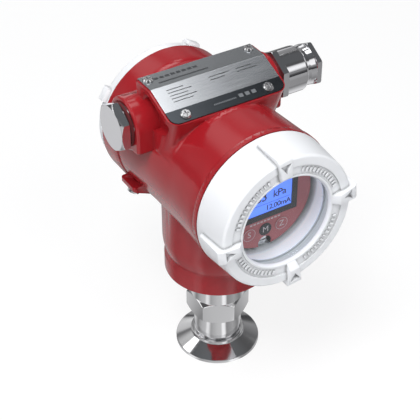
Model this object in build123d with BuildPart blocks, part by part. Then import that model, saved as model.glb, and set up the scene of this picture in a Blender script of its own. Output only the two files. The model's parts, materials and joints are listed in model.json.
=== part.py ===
from build123d import *
from math import atan2, cos, radians, sin, sqrt, tan
import os

# Diaphragm seal pressure transmitter, millimetres.
# Origin at the centre of the clamp ferrule's lower face, +Z up the sensor axis.
# The display faces -Y, the blanking plug -X and the cable gland +X.

# Clearances
screw_gap = 0.08
turn_gap = 0.08
face_gap = 0.3
seat_gap = 0.05

# Clamp ferrule and its flush diaphragm
ferrule_radius = 25.25
ferrule_rim = 2.0
ferrule_cone = 4.8
stub_radius = 16.0
stub_height = 1.7
gasket_groove_pitch = 21.8
gasket_groove_radius = 1.4
recess_radius = 17.0
recess_depth = 0.6
diaphragm_seat = 1.0
diaphragm_flat = 0.8
foil = 0.25
wave_count = 4
wave_depth = 0.35
oil_gap = 0.6
fill_bore = 1.2

# Sensor body, turned from hexagon bar
weld_neck = 13.4
weld_groove = 0.7
seal_radius = 14.2
seal_height = 15.3
turned_edge = 0.5
hex_flats = 32.4
hex_height = 14.0
hex_chamfer = 2.2
collar_radius = 16.2
collar_height = 20.7
tail_height = 30.5
well_radius = 12.0
capsule_radius = 8.0
capsule_height = 11.0
header_radius = 5.4
header_height = 4.0
pin_count = 6
pin_pitch = 3.4
pin_radius = 0.45
pin_length = 4.5
pin_stand = 2.0
sensor_board_thickness = 1.6
neck_seal_section = 1.6
neck_seal_rise = 6.0
lock_groove_depth = 1.6
lock_groove_width = 4.6

# Housing casting: neck
flange_radius = 31.2
flange_height = 9.9
flange_edge = 0.6
neck_radius = 32.0
waist_radius = 29.4
waist_rise = 1.7
bowl_height = 13.0
axis_above_flange = 73.2
lead_radius = 5.0
lead_setback = 8.0
lock_screw_radius = 2.0
lock_screw_rise = 22.0
lock_screw_length = 16.4
lock_screw_slot = 0.8

# Housing casting: barrel and its two chambers
barrel_radius = 41.2
barrel_draft = 1.3
barrel_middle = 12.0
barrel_front = 44.6
barrel_rear = 43.3
rim_step = 0.4
rim_width = 3.2
rear_rim_width = 3.4
rim_line = 0.35
drum_step = 1.0
drum_width = 12.7
drum_edge = 1.6
thread_wall = 6.1
thread_ledge = 2.1
front_floor = 2.0
wall_thickness = 6.0
front_thread_length = 10.8
rear_thread_length = 9.8
thread_runout = 1.0
seal_pocket = 1.3
seal_pocket_width = 2.5

# Housing casting: conduit crossbar
conduit_setback = 21.5
boss_sink = 14.6
boss_reach = 46.0
boss_radius = 15.2
boss_drop = 12.7
boss_edge = 1.6
boss_corner = 2.4
conduit_radius = 10.1
conduit_inner = 15.0

# Housing casting: hood under the nameplate
plate_length = 70.4
plate_lift = 8.75
plate_back = 23.9
plate_fold = 10.0
plate_front = 12.8
plate_slope = 22.0
plate_sheet = 0.8
plate_bend = 1.6
plate_corner = 5.0
hood_margin = 1.2
hood_foot = 16.0
hood_corner = 6.5
hood_back_corner = 2.0
pocket_depth = 4.6
pocket_wall = 3.0
pocket_height = 12.5
pocket_corner = 2.0
pocket_floor_lift = 1.0

# Nameplate screws
plate_screw_head = 3.0
plate_screw_rim = 0.5
plate_screw_dome = 0.8
plate_screw_shank = 1.5
plate_screw_length = 3.2
plate_screw_cross = 0.8
top_screw_inset = 3.7
top_screw_y = 19.6
front_screw_inset = 9.7
front_screw_run = 20.5

# External earth pad
pad_inset = 1.0
pad_root = 28.0
pad_low = 20.9
pad_side = 2.6
pad_front = 25.0
pad_length = 15.5
pad_angle = 24.0
pad_corner = 2.0
earth_screw_inset = 5.0
earth_screw_radius = 2.0
earth_screw_head = 3.5
earth_screw_head_height = 2.2
earth_screw_length = 5.0
earth_screw_slot = 0.9
earth_washer_radius = 4.4
earth_washer_thickness = 0.9

# Screwed covers
cover_step = 0.1
cover_taper = 4.56
front_cover_length = 22.3
rear_cover_length = 7.4
cover_edge = 1.0
cover_skirt_wall = 4.0
rear_cover_face = 4.0
rim_land = 4.8
land_step = 0.9
lip_overlap = 0.4
lip_width = 1.2
lip_height = 0.6
window_overlap = 2.6
window_depth = 2.6
front_lug_turn = 4.0
rear_lug_turn = 30.0
lug_count = 4
lug_width = 6.2
lug_proud = 2.9
lug_overhang = 1.7
lug_slope_run = 6.5
lug_slope_drop = 2.6
front_lug_tail = 4.5
rear_lug_tail = 2.0
lug_pit_width = 3.2
lug_pit_depth = 1.3
cover_seal_section = 1.6
cover_seal_set = 1.0
cover_seal_groove = 0.5
cover_seal_width = 1.9

# Window glass
glass_inset = 2.02
glass_thickness = 6.0
gasket_thickness = 0.5
gasket_width = 1.2
clamp_ring_lap = 0.6
clamp_ring_height = 2.4
clamp_slot_width = 2.4
clamp_slot_depth = 1.2

# Display head
display_front = 46.0
face_inset = 0.5
face_thickness = 0.6
puck_inset = 0.5
puck_depth = 9.6
puck_wall = 1.5
notch_radius = 4.3
notch_inset = 2.8
notch_wall = 0.5
notch_floor_depth = 4.5
lcd_side_margin = 11.8
lcd_height_margin = 6.0
lcd_rise = 4.0
bezel_width = 3.2
bezel_proud = 0.25
bezel_depth = 2.4
lcd_thickness = 2.6
lcd_recess = 0.5
light_margin = 1.4
light_thickness = 1.7
button_rim_margin = 10.8
button_pitch = 10.3
button_radius = 3.8
button_proud = 0.4
button_ear = 0.9
button_ear_reach = 4.6
button_ear_width = 4.0
button_travel = 0.8
dome_radius = 2.2
display_board_thickness = 1.6
display_board_inset = 0.8
display_post_radius = 2.4
display_post_inset = 4.6
display_post_y = 2.0
head_screw_head = 3.0
head_screw_head_height = 2.0
head_screw_shank = 1.5
head_screw_length = 8.0
head_screw_slot = 0.8

# Electronics module
case_clearance = 3.6
case_wall = 2.0
main_board_inset = 0.2
main_board_thickness = 1.6
main_board_depth = 5.0
post_radius = 2.6
post_inset = 5.9
post_count = 3
board_screw_head = 2.1
board_screw_head_height = 1.2
board_screw_shank = 1.1
board_screw_length = 5.0
board_screw_slot = 0.6
chip_size = 9.0
chip_height = 1.6
chip_x = -9.0
chip_y = 6.0
coil_radius = 5.0
coil_height = 7.0
coil_x = 8.0
coil_y = 5.0
connector_length = 14.0
connector_width = 5.0
connector_drop = 8.0
module_screw_x = 16.0
module_screw_rise = 4.0
module_screw_head = 2.4
module_screw_head_height = 1.8
module_screw_shank = 1.5
module_screw_length = 6.0
module_screw_slot = 0.8
head_lug_radius = 3.4

# Wiring chamber
feed_rise = 14.0
feed_radius = 6.0
feed_flange = 7.6
feed_flange_thickness = 1.6
feed_pin_count = 3
feed_pin_radius = 0.8
feed_pin_pitch = 3.2
feed_pin_reach = 2.6
block_side_margin = 10.0
block_height = 15.0
block_depth = 15.0
block_drop = 4.5
block_corner = 2.0
block_ledge = 9.0
block_ledge_depth = 6.0
barrier_thickness = 2.2
barrier_height = 13.5
barrier_proud = 5.0
terminal_count = 3
terminal_margin = 2.9
terminal_screw_head = 3.6
terminal_screw_head_height = 2.4
terminal_screw_shank = 2.0
terminal_screw_length = 9.0
terminal_screw_slot = 0.9
terminal_washer_margin = 1.0
terminal_washer_thickness = 1.2
block_screw_inset = 9.0
block_screw_head = 2.9
block_screw_head_height = 2.0
block_screw_shank = 1.6
block_screw_length = 10.0
inner_earth_x = 22.0
inner_earth_rise = 11.0
inner_earth_length = 5.0

# Blanking plug
plug_flats = 25.0
plug_hex_height = 4.9
plug_collar_radius = 11.6
plug_collar_height = 1.0
plug_washer_radius = 12.6
plug_washer_thickness = 1.4
plug_shank = 14.0
plug_bore = 7.0
hex_bevel = 1.3
hex_back_bevel = 0.3

# Cable gland
gland_flats = 26.2
gland_hex_height = 3.7
gland_washer_radius = 12.6
gland_washer_thickness = 1.9
gland_shank = 15.0
gland_cup_radius = 13.3
gland_cup_length = 14.4
gland_cup_edge = 1.6
gland_cup_bore = 10.6
gland_cup_floor = 1.0
gland_bore = 6.6
grommet_length = 8.0
cable_bore = 4.6
thrust_washer_thickness = 1.0
cap_flats = 23.6
cap_hex_height = 3.1
cap_neck_radius = 11.4
cap_neck_length = 2.2
cap_cone_length = 3.6
cap_bore = 6.8

# Heights up the sensor axis
stub_base = ferrule_rim + ferrule_cone
stub_top = stub_base + stub_height
seal_base = stub_top + weld_groove
hex_base = seal_base + seal_height
hex_top = hex_base + hex_height
hex_corner = hex_flats / sqrt(3)
flange_base = hex_top + collar_height
flange_top = flange_base + flange_height
waist_height = flange_top + waist_rise
barrel_height = flange_base + axis_above_flange
tail_top = flange_base + tail_height
socket_top = tail_top + 2 * face_gap
socket_radius = collar_radius + turn_gap
capsule_top = hex_base + capsule_height
header_top = capsule_top + header_height
neck_seal_height = flange_base + neck_seal_rise
neck_seal_pitch = collar_radius - neck_seal_section / 2
lock_screw_height = flange_base + lock_screw_rise
lock_groove_floor = collar_radius - lock_groove_depth

# Radii round the barrel, from its middle line outwards to the covers
rim_radius = barrel_radius + rim_step
drum_radius = barrel_radius + drum_step
cover_radius = barrel_radius + cover_step
lug_radius = cover_radius + lug_overhang
thread_radius = barrel_radius - thread_wall
chamber_radius = thread_radius - thread_ledge
seal_pocket_radius = thread_radius + seal_pocket_width
cover_seal_pitch = thread_radius + cover_seal_set
cover_seal_groove_radius = thread_radius + cover_seal_width
skirt_radius = thread_radius - screw_gap
skirt_bore = skirt_radius - cover_skirt_wall
glass_radius = skirt_bore - glass_inset
lip_radius = glass_radius - lip_overlap
window_radius = glass_radius - window_overlap
gasket_bore = glass_radius - gasket_width
clamp_ring_bore = glass_radius - clamp_ring_lap

# Radii and widths of the display and the electronics, which must pass the front thread
case_radius = chamber_radius - case_clearance
case_bore = case_radius - case_wall
puck_radius = case_radius - puck_inset
face_radius = puck_radius - face_inset
main_board_radius = case_bore - main_board_inset
display_board_radius = puck_radius - puck_wall - display_board_inset
display_post_x = puck_radius - puck_wall - display_post_inset
post_pitch = case_bore - post_inset
notch_offset = case_radius - notch_inset
lcd_width = 2 * (face_radius - lcd_side_margin)
lcd_height = face_radius - lcd_height_margin
button_drop = face_radius - button_rim_margin

# Places along the barrel
drum_rear = barrel_rear + drum_width
rear_floor = front_floor + wall_thickness
front_seat = barrel_front + face_gap
rear_seat = drum_rear + face_gap
cover_front = front_seat + front_cover_length
cover_rear = rear_seat + rear_cover_length
glass_front = cover_front - window_depth
glass_back = glass_front - glass_thickness
clamp_ring_front = glass_back - gasket_thickness
face_back = display_front - face_thickness
puck_back = face_back - puck_depth
puck_inside = face_back - puck_wall
notch_floor = display_front - notch_floor_depth
notch_floor_back = notch_floor - puck_wall
bezel_front = display_front + bezel_proud
lcd_front = display_front - lcd_recess
lcd_back = lcd_front - lcd_thickness
display_board_front = lcd_back - light_thickness
display_board_back = display_board_front - display_board_thickness
main_board_front = puck_back - main_board_depth
main_board_back = main_board_front - main_board_thickness
case_floor = case_wall - front_floor

# Display controls and posts, seen from the front
display_posts = (
    (-display_post_x, display_post_y),
    (display_post_x, display_post_y),
    (0, display_post_x),
)
notch_place = ((0, -notch_offset),)
button_places = [(button_pitch * i, -button_drop) for i in (-1, 0, 1)]
module_screw_places = ((-module_screw_x, module_screw_rise), (module_screw_x, module_screw_rise))
board_posts = [
    (post_pitch * sin(radians(i * 360 / post_count)), post_pitch * cos(radians(i * 360 / post_count)))
    for i in range(post_count)
]

# Wiring places, seen from the rear
block_width = 2 * (chamber_radius - block_side_margin)
block_screw_x = block_width / 2 - block_screw_inset
terminal_pitch = (block_width - 2 * terminal_margin) / terminal_count
terminal_washer_radius = (terminal_pitch - barrier_thickness) / 2 - terminal_washer_margin
terminal_places = [
    (terminal_pitch * (i - (terminal_count - 1) / 2), -block_drop) for i in range(terminal_count)
]
block_base = -block_drop - block_height / 2
block_screw_y = block_base - block_ledge / 2
block_screw_places = ((-block_screw_x, block_screw_y), (block_screw_x, block_screw_y))
inner_earth_place = ((inner_earth_x, inner_earth_rise),)
feed_place = ((0, feed_rise),)

# Conduit axis and nameplate
conduit_rise = barrel_radius - boss_sink
conduit_height = barrel_height + conduit_rise
conduit_shank = conduit_radius - screw_gap
plate_top = barrel_height + barrel_radius + plate_lift
seat_height = plate_top - plate_sheet
slope_run = (plate_fold + plate_front) / cos(radians(plate_slope))
fold_shift = plate_sheet * tan(radians(plate_slope / 2))
half_plate = plate_length / 2
half_hood = half_plate + hood_margin
top_screw_x = half_plate - top_screw_inset
front_screw_x = half_plate - front_screw_inset
plate_hole = plate_screw_shank + seat_gap

barrel_axis = Axis((0, 0, barrel_height), (0, 1, 0))
conduit_axis = Axis((0, conduit_setback, conduit_height), (1, 0, 0))

os.makedirs("parts", exist_ok=True)


def radial(out, turn=0.0):
    """A half plane round the barrel: x is the radius, y the distance out from the middle."""
    angle = radians(turn)
    return Plane(
        origin=(0, 0, barrel_height),
        x_dir=(-out * cos(angle), 0, sin(angle)),
        z_dir=(-out * sin(angle), 0, -cos(angle)),
    )


def facing(out, distance):
    """A plane square to the barrel at a distance out from its middle, facing outwards."""
    return Plane(origin=(0, out * distance, barrel_height), x_dir=(-out, 0, 0), z_dir=(0, out, 0))


def sideways(side):
    """A half plane over the conduit: x is the radius, y the distance out from the middle."""
    return Plane(origin=(0, conduit_setback, conduit_height), x_dir=(0, 0, 1), z_dir=(0, side, 0))


def across(side, reach):
    """A plane square to the conduit, facing away from the middle."""
    return Plane(origin=(side * reach, conduit_setback, conduit_height), x_dir=(0, 1, 0), z_dir=(side, 0, 0))


def side_view(x):
    """A plane seen from the end of the crossbar: x is Y and y is Z."""
    return Plane(origin=(x, 0, 0), x_dir=(0, 1, 0), z_dir=(1, 0, 0))


def on_slope(run, depth):
    """Y and Z of a point down the nameplate's slope from its fold and below its face."""
    y = plate_fold - run * cos(radians(plate_slope)) + depth * sin(radians(plate_slope))
    z = plate_top - run * sin(radians(plate_slope)) - depth * cos(radians(plate_slope))
    return (y, z)


def turned(profile, plane, axis, mode=Mode.ADD):
    """Revolve a closed outline of corner points."""
    with BuildSketch(plane) as outline:
        with BuildLine():
            Polyline(*profile, close=True)
        make_face()
    revolve(outline.sketch, axis=axis, mode=mode)


def rubber_ring(plane, axis, pitch, place, section):
    """A round rubber ring of the given section."""
    with BuildSketch(plane) as outline:
        with Locations((pitch, place)):
            Circle(section / 2)
    revolve(outline.sketch, axis=axis)


def discs(plane, radius, height, places=((0, 0),), mode=Mode.ADD):
    """Plain round bosses or holes standing on a plane."""
    with BuildSketch(plane) as outline:
        with Locations(*places):
            Circle(radius)
    extrude(outline.sketch, amount=height, mode=mode)


def washers(plane, radius, bore, height, places=((0, 0),)):
    """Flat washers lying on a plane."""
    with BuildSketch(plane) as outline:
        with Locations(*places):
            Circle(radius)
            Circle(bore, mode=Mode.SUBTRACT)
    extrude(outline.sketch, amount=height)


def blocks(plane, width, height, depth, places=((0, 0),), mode=Mode.ADD):
    """Rectangular blocks or pockets standing on a plane."""
    with BuildSketch(plane) as outline:
        with Locations(*places):
            Rectangle(width, height)
    extrude(outline.sketch, amount=depth, mode=mode)


def slotted_screws(plane, head, head_height, shank, length, slot, places=((0, 0),)):
    """Screws whose slotted heads stand on the plane."""
    discs(plane, head, head_height, places)
    discs(plane, shank, -length, places)
    top = plane.offset(head_height)
    blocks(top, 2 * head + slot, slot, -head_height / 2, places, Mode.SUBTRACT)


def hexagon(plane, section, axis, base, flats, height, low, high):
    """A hexagon bar bevelled at both ends."""
    corner = flats / sqrt(3)
    with BuildSketch(plane) as outline:
        RegularPolygon(corner, 6, rotation=30)
    extrude(outline.sketch, amount=height)
    turned(
        [
            (0, base),
            (flats / 2, base),
            (corner, base + low),
            (corner, base + height - high),
            (flats / 2, base + height),
            (0, base + height),
        ],
        section,
        axis,
        Mode.INTERSECT,
    )


def lugs(out, first_turn, seat, face, tail):
    """Raised ribs on a cover's face whose sloped ends stand past its side, each with a small pit."""
    lug_slope = atan2(lug_slope_drop, lug_slope_run)
    for i in range(lug_count):
        rib = radial(out, first_turn + i * 360 / lug_count)
        with BuildSketch(rib) as outline:
            with BuildLine():
                Polyline(
                    (lip_radius, face - cover_edge - land_step),
                    (lip_radius, face - land_step),
                    (lip_radius + lug_proud, face + lug_proud),
                    (lug_radius - lug_slope_run, face + lug_proud),
                    (lug_radius, face + lug_proud - lug_slope_drop),
                    (lug_radius, seat + tail + lug_radius - cover_radius),
                    (cover_radius - cover_edge, seat + tail),
                    (cover_radius - cover_skirt_wall, face - cover_edge - land_step),
                    close=True,
                )
            make_face()
        extrude(outline.sketch, amount=lug_width / 2, both=True)
        middle = (lug_radius - lug_slope_run / 2, face + lug_proud - lug_slope_drop / 2, 0)
        end_face = Plane(
            origin=rib.from_local_coords(middle),
            x_dir=rib.z_dir,
            z_dir=rib.x_dir * sin(lug_slope) + rib.y_dir * cos(lug_slope),
        )
        with BuildSketch(end_face) as pit:
            Triangle(a=lug_pit_width, B=60, C=60, rotation=90)
        extrude(pit.sketch, amount=-lug_pit_depth, mode=Mode.SUBTRACT)


def save(part, name):
    """Label a finished piece and write it to its file."""
    part.label = name
    export_step(part, "parts/" + name + ".step")


# Clamp ferrule: a turned disc with a sloped back, a short stub and a recessed face
diaphragm_face = recess_depth + foil
with BuildPart() as ferrule:
    turned(
        [
            (fill_bore, diaphragm_face + oil_gap),
            (recess_radius - diaphragm_seat, diaphragm_face + oil_gap),
            (recess_radius - diaphragm_seat, diaphragm_face),
            (recess_radius, diaphragm_face),
            (recess_radius, 0),
            (ferrule_radius, 0),
            (ferrule_radius, ferrule_rim),
            (stub_radius, stub_base),
            (stub_radius, stub_top),
            (weld_neck, stub_top),
            (weld_neck, seal_base),
            (fill_bore, seal_base),
        ],
        Plane.XZ,
        Axis.Z,
    )
    with BuildSketch(Plane.XZ):
        with Locations((gasket_groove_pitch, 0)):
            Circle(gasket_groove_radius)
    revolve(axis=Axis.Z, mode=Mode.SUBTRACT)
save(ferrule.part, "ferrule")

# Process diaphragm: thin corrugated foil welded to the ledge in the ferrule's recess
wave_step = (recess_radius - diaphragm_seat - diaphragm_flat) / (2 * wave_count)
lower_face = [(0, recess_depth)]
for i in range(2 * wave_count + 1):
    lower_face.append((diaphragm_flat + wave_step * i, recess_depth - wave_depth * (i % 2)))
lower_face.append((recess_radius, recess_depth))
upper_face = [(radius, height + foil) for radius, height in reversed(lower_face)]
with BuildPart() as process_diaphragm:
    turned(lower_face + upper_face, Plane.XZ, Axis.Z)
save(process_diaphragm.part, "process_diaphragm")

# Sensor body: seal barrel, hexagon and long tail turned from one bar and bored from above
seal_groove_floor = collar_radius - neck_seal_section - seat_gap
seal_groove_half = neck_seal_section / 2 + seat_gap
with BuildPart() as sensor_body:
    hexagon(
        Plane.XY.offset(hex_base), Plane.XZ, Axis.Z,
        hex_base, hex_flats, hex_height, hex_chamfer, hex_chamfer,
    )
    turned(
        [
            (0, seal_base),
            (seal_radius - turned_edge, seal_base),
            (seal_radius, seal_base + turned_edge),
            (seal_radius, hex_base),
            (0, hex_base),
        ],
        Plane.XZ,
        Axis.Z,
    )
    turned(
        [
            (0, hex_top),
            (collar_radius, hex_top),
            (collar_radius, neck_seal_height - seal_groove_half),
            (seal_groove_floor, neck_seal_height - seal_groove_half),
            (seal_groove_floor, neck_seal_height + seal_groove_half),
            (collar_radius, neck_seal_height + seal_groove_half),
            (collar_radius, lock_screw_height - lock_groove_width / 2),
            (lock_groove_floor, lock_screw_height - lock_groove_width / 2),
            (lock_groove_floor, lock_screw_height + lock_groove_width / 2),
            (collar_radius, lock_screw_height + lock_groove_width / 2),
            (collar_radius, tail_top - turned_edge),
            (collar_radius - turned_edge, tail_top),
            (0, tail_top),
        ],
        Plane.XZ,
        Axis.Z,
    )
    turned(
        [
            (0, seal_base),
            (fill_bore, seal_base),
            (fill_bore, hex_base),
            (capsule_radius, hex_base),
            (capsule_radius, capsule_top),
            (well_radius, capsule_top),
            (well_radius, tail_top),
            (0, tail_top),
        ],
        Plane.XZ,
        Axis.Z,
        Mode.SUBTRACT,
    )
save(sensor_body.part, "sensor_body")

# Pressure capsule: welded cell whose ring of contact pins stands out of its header
with BuildPart() as sensor_capsule:
    discs(Plane.XY.offset(hex_base), capsule_radius - seat_gap, capsule_height)
    discs(Plane.XY.offset(capsule_top), header_radius, header_height)
    with BuildSketch(Plane.XY.offset(header_top)):
        with PolarLocations(pin_pitch, pin_count):
            Circle(pin_radius)
    extrude(amount=pin_length)
save(sensor_capsule.part, "sensor_capsule")

# Sensor board: small round circuit board pushed over the capsule's pins
with BuildPart() as sensor_board:
    board_base = Plane.XY.offset(header_top + pin_stand)
    discs(board_base, well_radius - face_gap, sensor_board_thickness)
    with BuildSketch(board_base):
        with PolarLocations(pin_pitch, pin_count):
            Circle(pin_radius)
    extrude(amount=sensor_board_thickness, mode=Mode.SUBTRACT)
save(sensor_board.part, "sensor_board")

# Neck seal: rubber ring in the groove of the sensor's tail
with BuildPart() as neck_seal:
    rubber_ring(Plane.XZ, Axis.Z, neck_seal_pitch, neck_seal_height, neck_seal_section)
save(neck_seal.part, "neck_seal")

# Crossbar of the casting: round on top, flat below, with a conduit boss at each end
with BuildPart() as crossbar:
    with BuildSketch(across(1, -boss_reach)) as bar_section:
        Circle(boss_radius)
        with Locations((0, -boss_drop / 2)):
            Rectangle(2 * boss_radius, boss_drop)
        fillet(bar_section.vertices().group_by(Axis.Y)[0], boss_corner)
    extrude(amount=2 * boss_reach)
    bar_ends = crossbar.edges().group_by(Axis.X)
    fillet(bar_ends[0] + bar_ends[-1], boss_edge)

# Hood of the casting: a saddle with a folded top for the nameplate and a pocket at each end
hood_low = barrel_height + hood_foot
hood_back = plate_back + hood_margin / 2
hood_run = slope_run + hood_margin / 2
hood_front_y, hood_front_z = on_slope(hood_run, 0)
front_wall_depth = (hood_front_z - hood_low) / cos(radians(plate_slope))
wall_line = Axis((0, 0, 0), (0, sin(radians(plate_slope)), -cos(radians(plate_slope))))
pocket_run = hood_run - pocket_wall
pocket_roof = seat_height - pocket_wall
pocket_back = top_screw_y - plate_screw_head
with BuildPart() as hood:
    with BuildSketch(side_view(-half_hood)):
        with BuildLine():
            Polyline(
                (hood_back, seat_height),
                (plate_fold + fold_shift, seat_height),
                on_slope(hood_run, plate_sheet),
                on_slope(hood_run, front_wall_depth),
                (hood_back, hood_low),
                close=True,
            )
        make_face()
    extrude(amount=2 * half_hood)
    fillet(hood.edges().filter_by(wall_line), hood_corner)
    fillet(hood.edges().filter_by(Axis.Z).group_by(Axis.Y)[-1], hood_back_corner)
    for side in (-1, 1):
        with BuildSketch(side_view(side * half_hood)) as pocket:
            with BuildLine():
                Polyline(
                    (pocket_back, pocket_roof),
                    (plate_fold + fold_shift, pocket_roof),
                    on_slope(pocket_run, plate_sheet + pocket_wall),
                    on_slope(pocket_run, pocket_height),
                    (conduit_setback - boss_radius, conduit_height + pocket_floor_lift),
                    (pocket_back, conduit_height + pocket_floor_lift),
                    close=True,
                )
            make_face()
            fillet(pocket.vertices().sort_by(Axis.X)[:2], pocket_corner)
        extrude(amount=-side * pocket_depth, mode=Mode.SUBTRACT)

# Earth pad of the casting: a shelf with a sloped underside, low on the barrel's left side
pad_out = barrel_radius - pad_inset
earth_screw_out = pad_out - earth_screw_inset
pad_top = barrel_height - pad_low
pad_tan = tan(radians(pad_angle))
pad_edge = pad_top - pad_side
with BuildPart() as earth_pad:
    with BuildSketch(Plane(origin=(0, pad_front, 0), x_dir=(1, 0, 0), z_dir=(0, -1, 0))):
        with BuildLine():
            Polyline(
                (-pad_root, pad_top),
                (-pad_out, pad_top),
                (-pad_out, pad_edge),
                (-pad_root, pad_edge - (pad_out - pad_root) * pad_tan),
                close=True,
            )
        make_face()
    extrude(amount=-pad_length)
    fillet(earth_pad.edges().filter_by(Axis.Z).group_by(Axis.X)[0], pad_corner)

# Housing: one aluminium casting of barrel, rear drum, neck, crossbar, hood and earth pad
pad_screw_plane = Plane(
    origin=(
        -earth_screw_out,
        pad_front + pad_length / 2,
        pad_edge - (pad_out - earth_screw_out) * pad_tan,
    ),
    x_dir=(0, 1, 0),
    z_dir=(-sin(radians(pad_angle)), 0, -cos(radians(pad_angle))),
)
top_screw_plane = Plane(origin=(0, top_screw_y, plate_top), x_dir=(1, 0, 0), z_dir=(0, 0, 1))
front_screw_plane = Plane(
    origin=(0, *on_slope(front_screw_run, 0)),
    x_dir=(1, 0, 0),
    z_dir=(0, -sin(radians(plate_slope)), cos(radians(plate_slope))),
)
plate_screw_planes = (
    (top_screw_plane, ((-top_screw_x, 0), (top_screw_x, 0))),
    (front_screw_plane, ((-front_screw_x, 0), (front_screw_x, 0))),
)
lock_screw_tip = Plane(
    origin=(0, lock_groove_floor + face_gap, lock_screw_height), x_dir=(1, 0, 0), z_dir=(0, 1, 0)
)
with BuildPart() as housing:
    turned(
        [
            (0, -barrel_front),
            (rim_radius, -barrel_front),
            (rim_radius, rim_width - barrel_front),
            (barrel_radius - rim_line, rim_width + rim_line - barrel_front),
            (barrel_radius, rim_width + 2 * rim_line - barrel_front),
            (barrel_radius - barrel_draft, -barrel_middle),
            (barrel_radius - barrel_draft, barrel_middle),
            (barrel_radius, barrel_rear - rear_rim_width - 2 * rim_line),
            (barrel_radius - rim_line, barrel_rear - rear_rim_width - rim_line),
            (rim_radius, barrel_rear - rear_rim_width),
            (rim_radius, barrel_rear - drum_edge),
            (drum_radius, barrel_rear),
            (drum_radius, drum_rear),
            (0, drum_rear),
        ],
        radial(1),
        barrel_axis,
    )
    with BuildSketch(Plane.XZ):
        with BuildLine():
            bowl = TangentArc(
                (neck_radius, waist_height + bowl_height),
                (waist_radius, waist_height),
                tangent=(0, -1),
            )
            Polyline(
                bowl @ 1,
                (flange_radius, flange_top),
                (flange_radius, flange_base + flange_edge),
                (flange_radius - flange_edge, flange_base),
                (0, flange_base),
                (0, barrel_height),
                (neck_radius, barrel_height),
                bowl @ 0,
            )
        make_face()
    revolve(axis=Axis.Z)
    add(crossbar.part)
    add(hood.part)
    add(earth_pad.part)
    for out, mouth, floor, thread in (
        (-1, barrel_front, -front_floor, front_thread_length),
        (1, drum_rear, rear_floor, rear_thread_length),
    ):
        turned(
            [
                (0, mouth),
                (seal_pocket_radius, mouth),
                (seal_pocket_radius, mouth - seal_pocket),
                (thread_radius, mouth - seal_pocket),
                (thread_radius, mouth - thread),
                (chamber_radius, mouth - thread),
                (chamber_radius, floor),
                (0, floor),
            ],
            radial(out),
            barrel_axis,
            Mode.SUBTRACT,
        )
    for side in (-1, 1):
        discs(across(side, boss_reach), conduit_radius, conduit_inner - boss_reach, mode=Mode.SUBTRACT)
    discs(Plane.XY.offset(flange_base), socket_radius, socket_top - flange_base, mode=Mode.SUBTRACT)
    lead_rise = barrel_height - chamber_radius / 2 - socket_top
    discs(Plane((0, 0, socket_top)), lead_radius, lead_rise, ((0, -lead_setback),), Mode.SUBTRACT)
    discs(lock_screw_tip, lock_screw_radius + seat_gap, neck_radius, mode=Mode.SUBTRACT)
    discs(pad_screw_plane, earth_screw_radius + seat_gap, -earth_screw_length, mode=Mode.SUBTRACT)
    for screw_plane, screw_places in plate_screw_planes:
        depth = plate_screw_length + seat_gap
        discs(screw_plane, plate_hole, -depth, screw_places, Mode.SUBTRACT)
    rear_wall = facing(1, rear_floor)
    front_wall = facing(-1, -front_floor)
    discs(rear_wall, feed_radius + seat_gap, -wall_thickness, feed_place, Mode.SUBTRACT)
    depth = block_screw_length - block_ledge_depth + seat_gap
    discs(rear_wall, block_screw_shank + seat_gap, -depth, block_screw_places, Mode.SUBTRACT)
    depth = inner_earth_length + seat_gap
    discs(rear_wall, earth_screw_radius + seat_gap, -depth, inner_earth_place, Mode.SUBTRACT)
    depth = module_screw_length - case_wall + seat_gap
    discs(front_wall, module_screw_shank + seat_gap, -depth, module_screw_places, Mode.SUBTRACT)
save(housing.part, "housing")

# Neck lock screw: grub screw whose tip rides in the groove of the sensor's tail
with BuildPart() as neck_lock_screw:
    discs(lock_screw_tip, lock_screw_radius, lock_screw_length)
    screw_end = lock_screw_tip.offset(lock_screw_length)
    blocks(screw_end, 3 * lock_screw_radius, lock_screw_slot, -lock_screw_radius, mode=Mode.SUBTRACT)
save(neck_lock_screw.part, "neck_lock_screw")

# Nameplate: blank steel sheet folded over the hood
with BuildPart() as nameplate:
    with BuildSketch(side_view(-half_plate)):
        with BuildLine():
            Polyline(
                (plate_back, plate_top),
                (plate_fold, plate_top),
                on_slope(slope_run, 0),
                on_slope(slope_run, plate_sheet),
                (plate_fold + fold_shift, seat_height),
                (plate_back, seat_height),
                close=True,
            )
        make_face()
    extrude(amount=plate_length)
    fillet(nameplate.edges().filter_by(wall_line), plate_corner)
    fold_edges = nameplate.edges().filter_by(Axis.X).sort_by_distance((0, plate_fold, plate_top))
    fillet(fold_edges[0], plate_bend)
    for screw_plane, screw_places in plate_screw_planes:
        discs(screw_plane, plate_hole, -2 * plate_sheet, screw_places, Mode.SUBTRACT)
save(nameplate.part, "nameplate")

# Nameplate screws: domed heads with a cross recess
with BuildPart() as nameplate_screws:
    for screw_plane, screw_places in plate_screw_planes:
        discs(screw_plane, plate_screw_shank, -plate_screw_length, screw_places)
        discs(screw_plane, plate_screw_head, plate_screw_rim, screw_places)
        with BuildSketch(screw_plane.offset(plate_screw_rim)):
            with Locations(*screw_places):
                Circle(plate_screw_head)
        extrude(amount=plate_screw_dome, taper=40)
        head_top = screw_plane.offset(plate_screw_rim + plate_screw_dome)
        arm = plate_screw_head + plate_screw_cross / 2
        blocks(head_top, arm, plate_screw_cross, -plate_screw_dome, screw_places, Mode.SUBTRACT)
        blocks(head_top, plate_screw_cross, arm, -plate_screw_dome, screw_places, Mode.SUBTRACT)
save(nameplate_screws.part, "nameplate_screws")

# Earth terminal under the pad: clamping washer and slotted screw
with BuildPart() as earth_washer:
    washers(pad_screw_plane, earth_washer_radius, earth_screw_radius + seat_gap, earth_washer_thickness)
save(earth_washer.part, "earth_washer")

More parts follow.
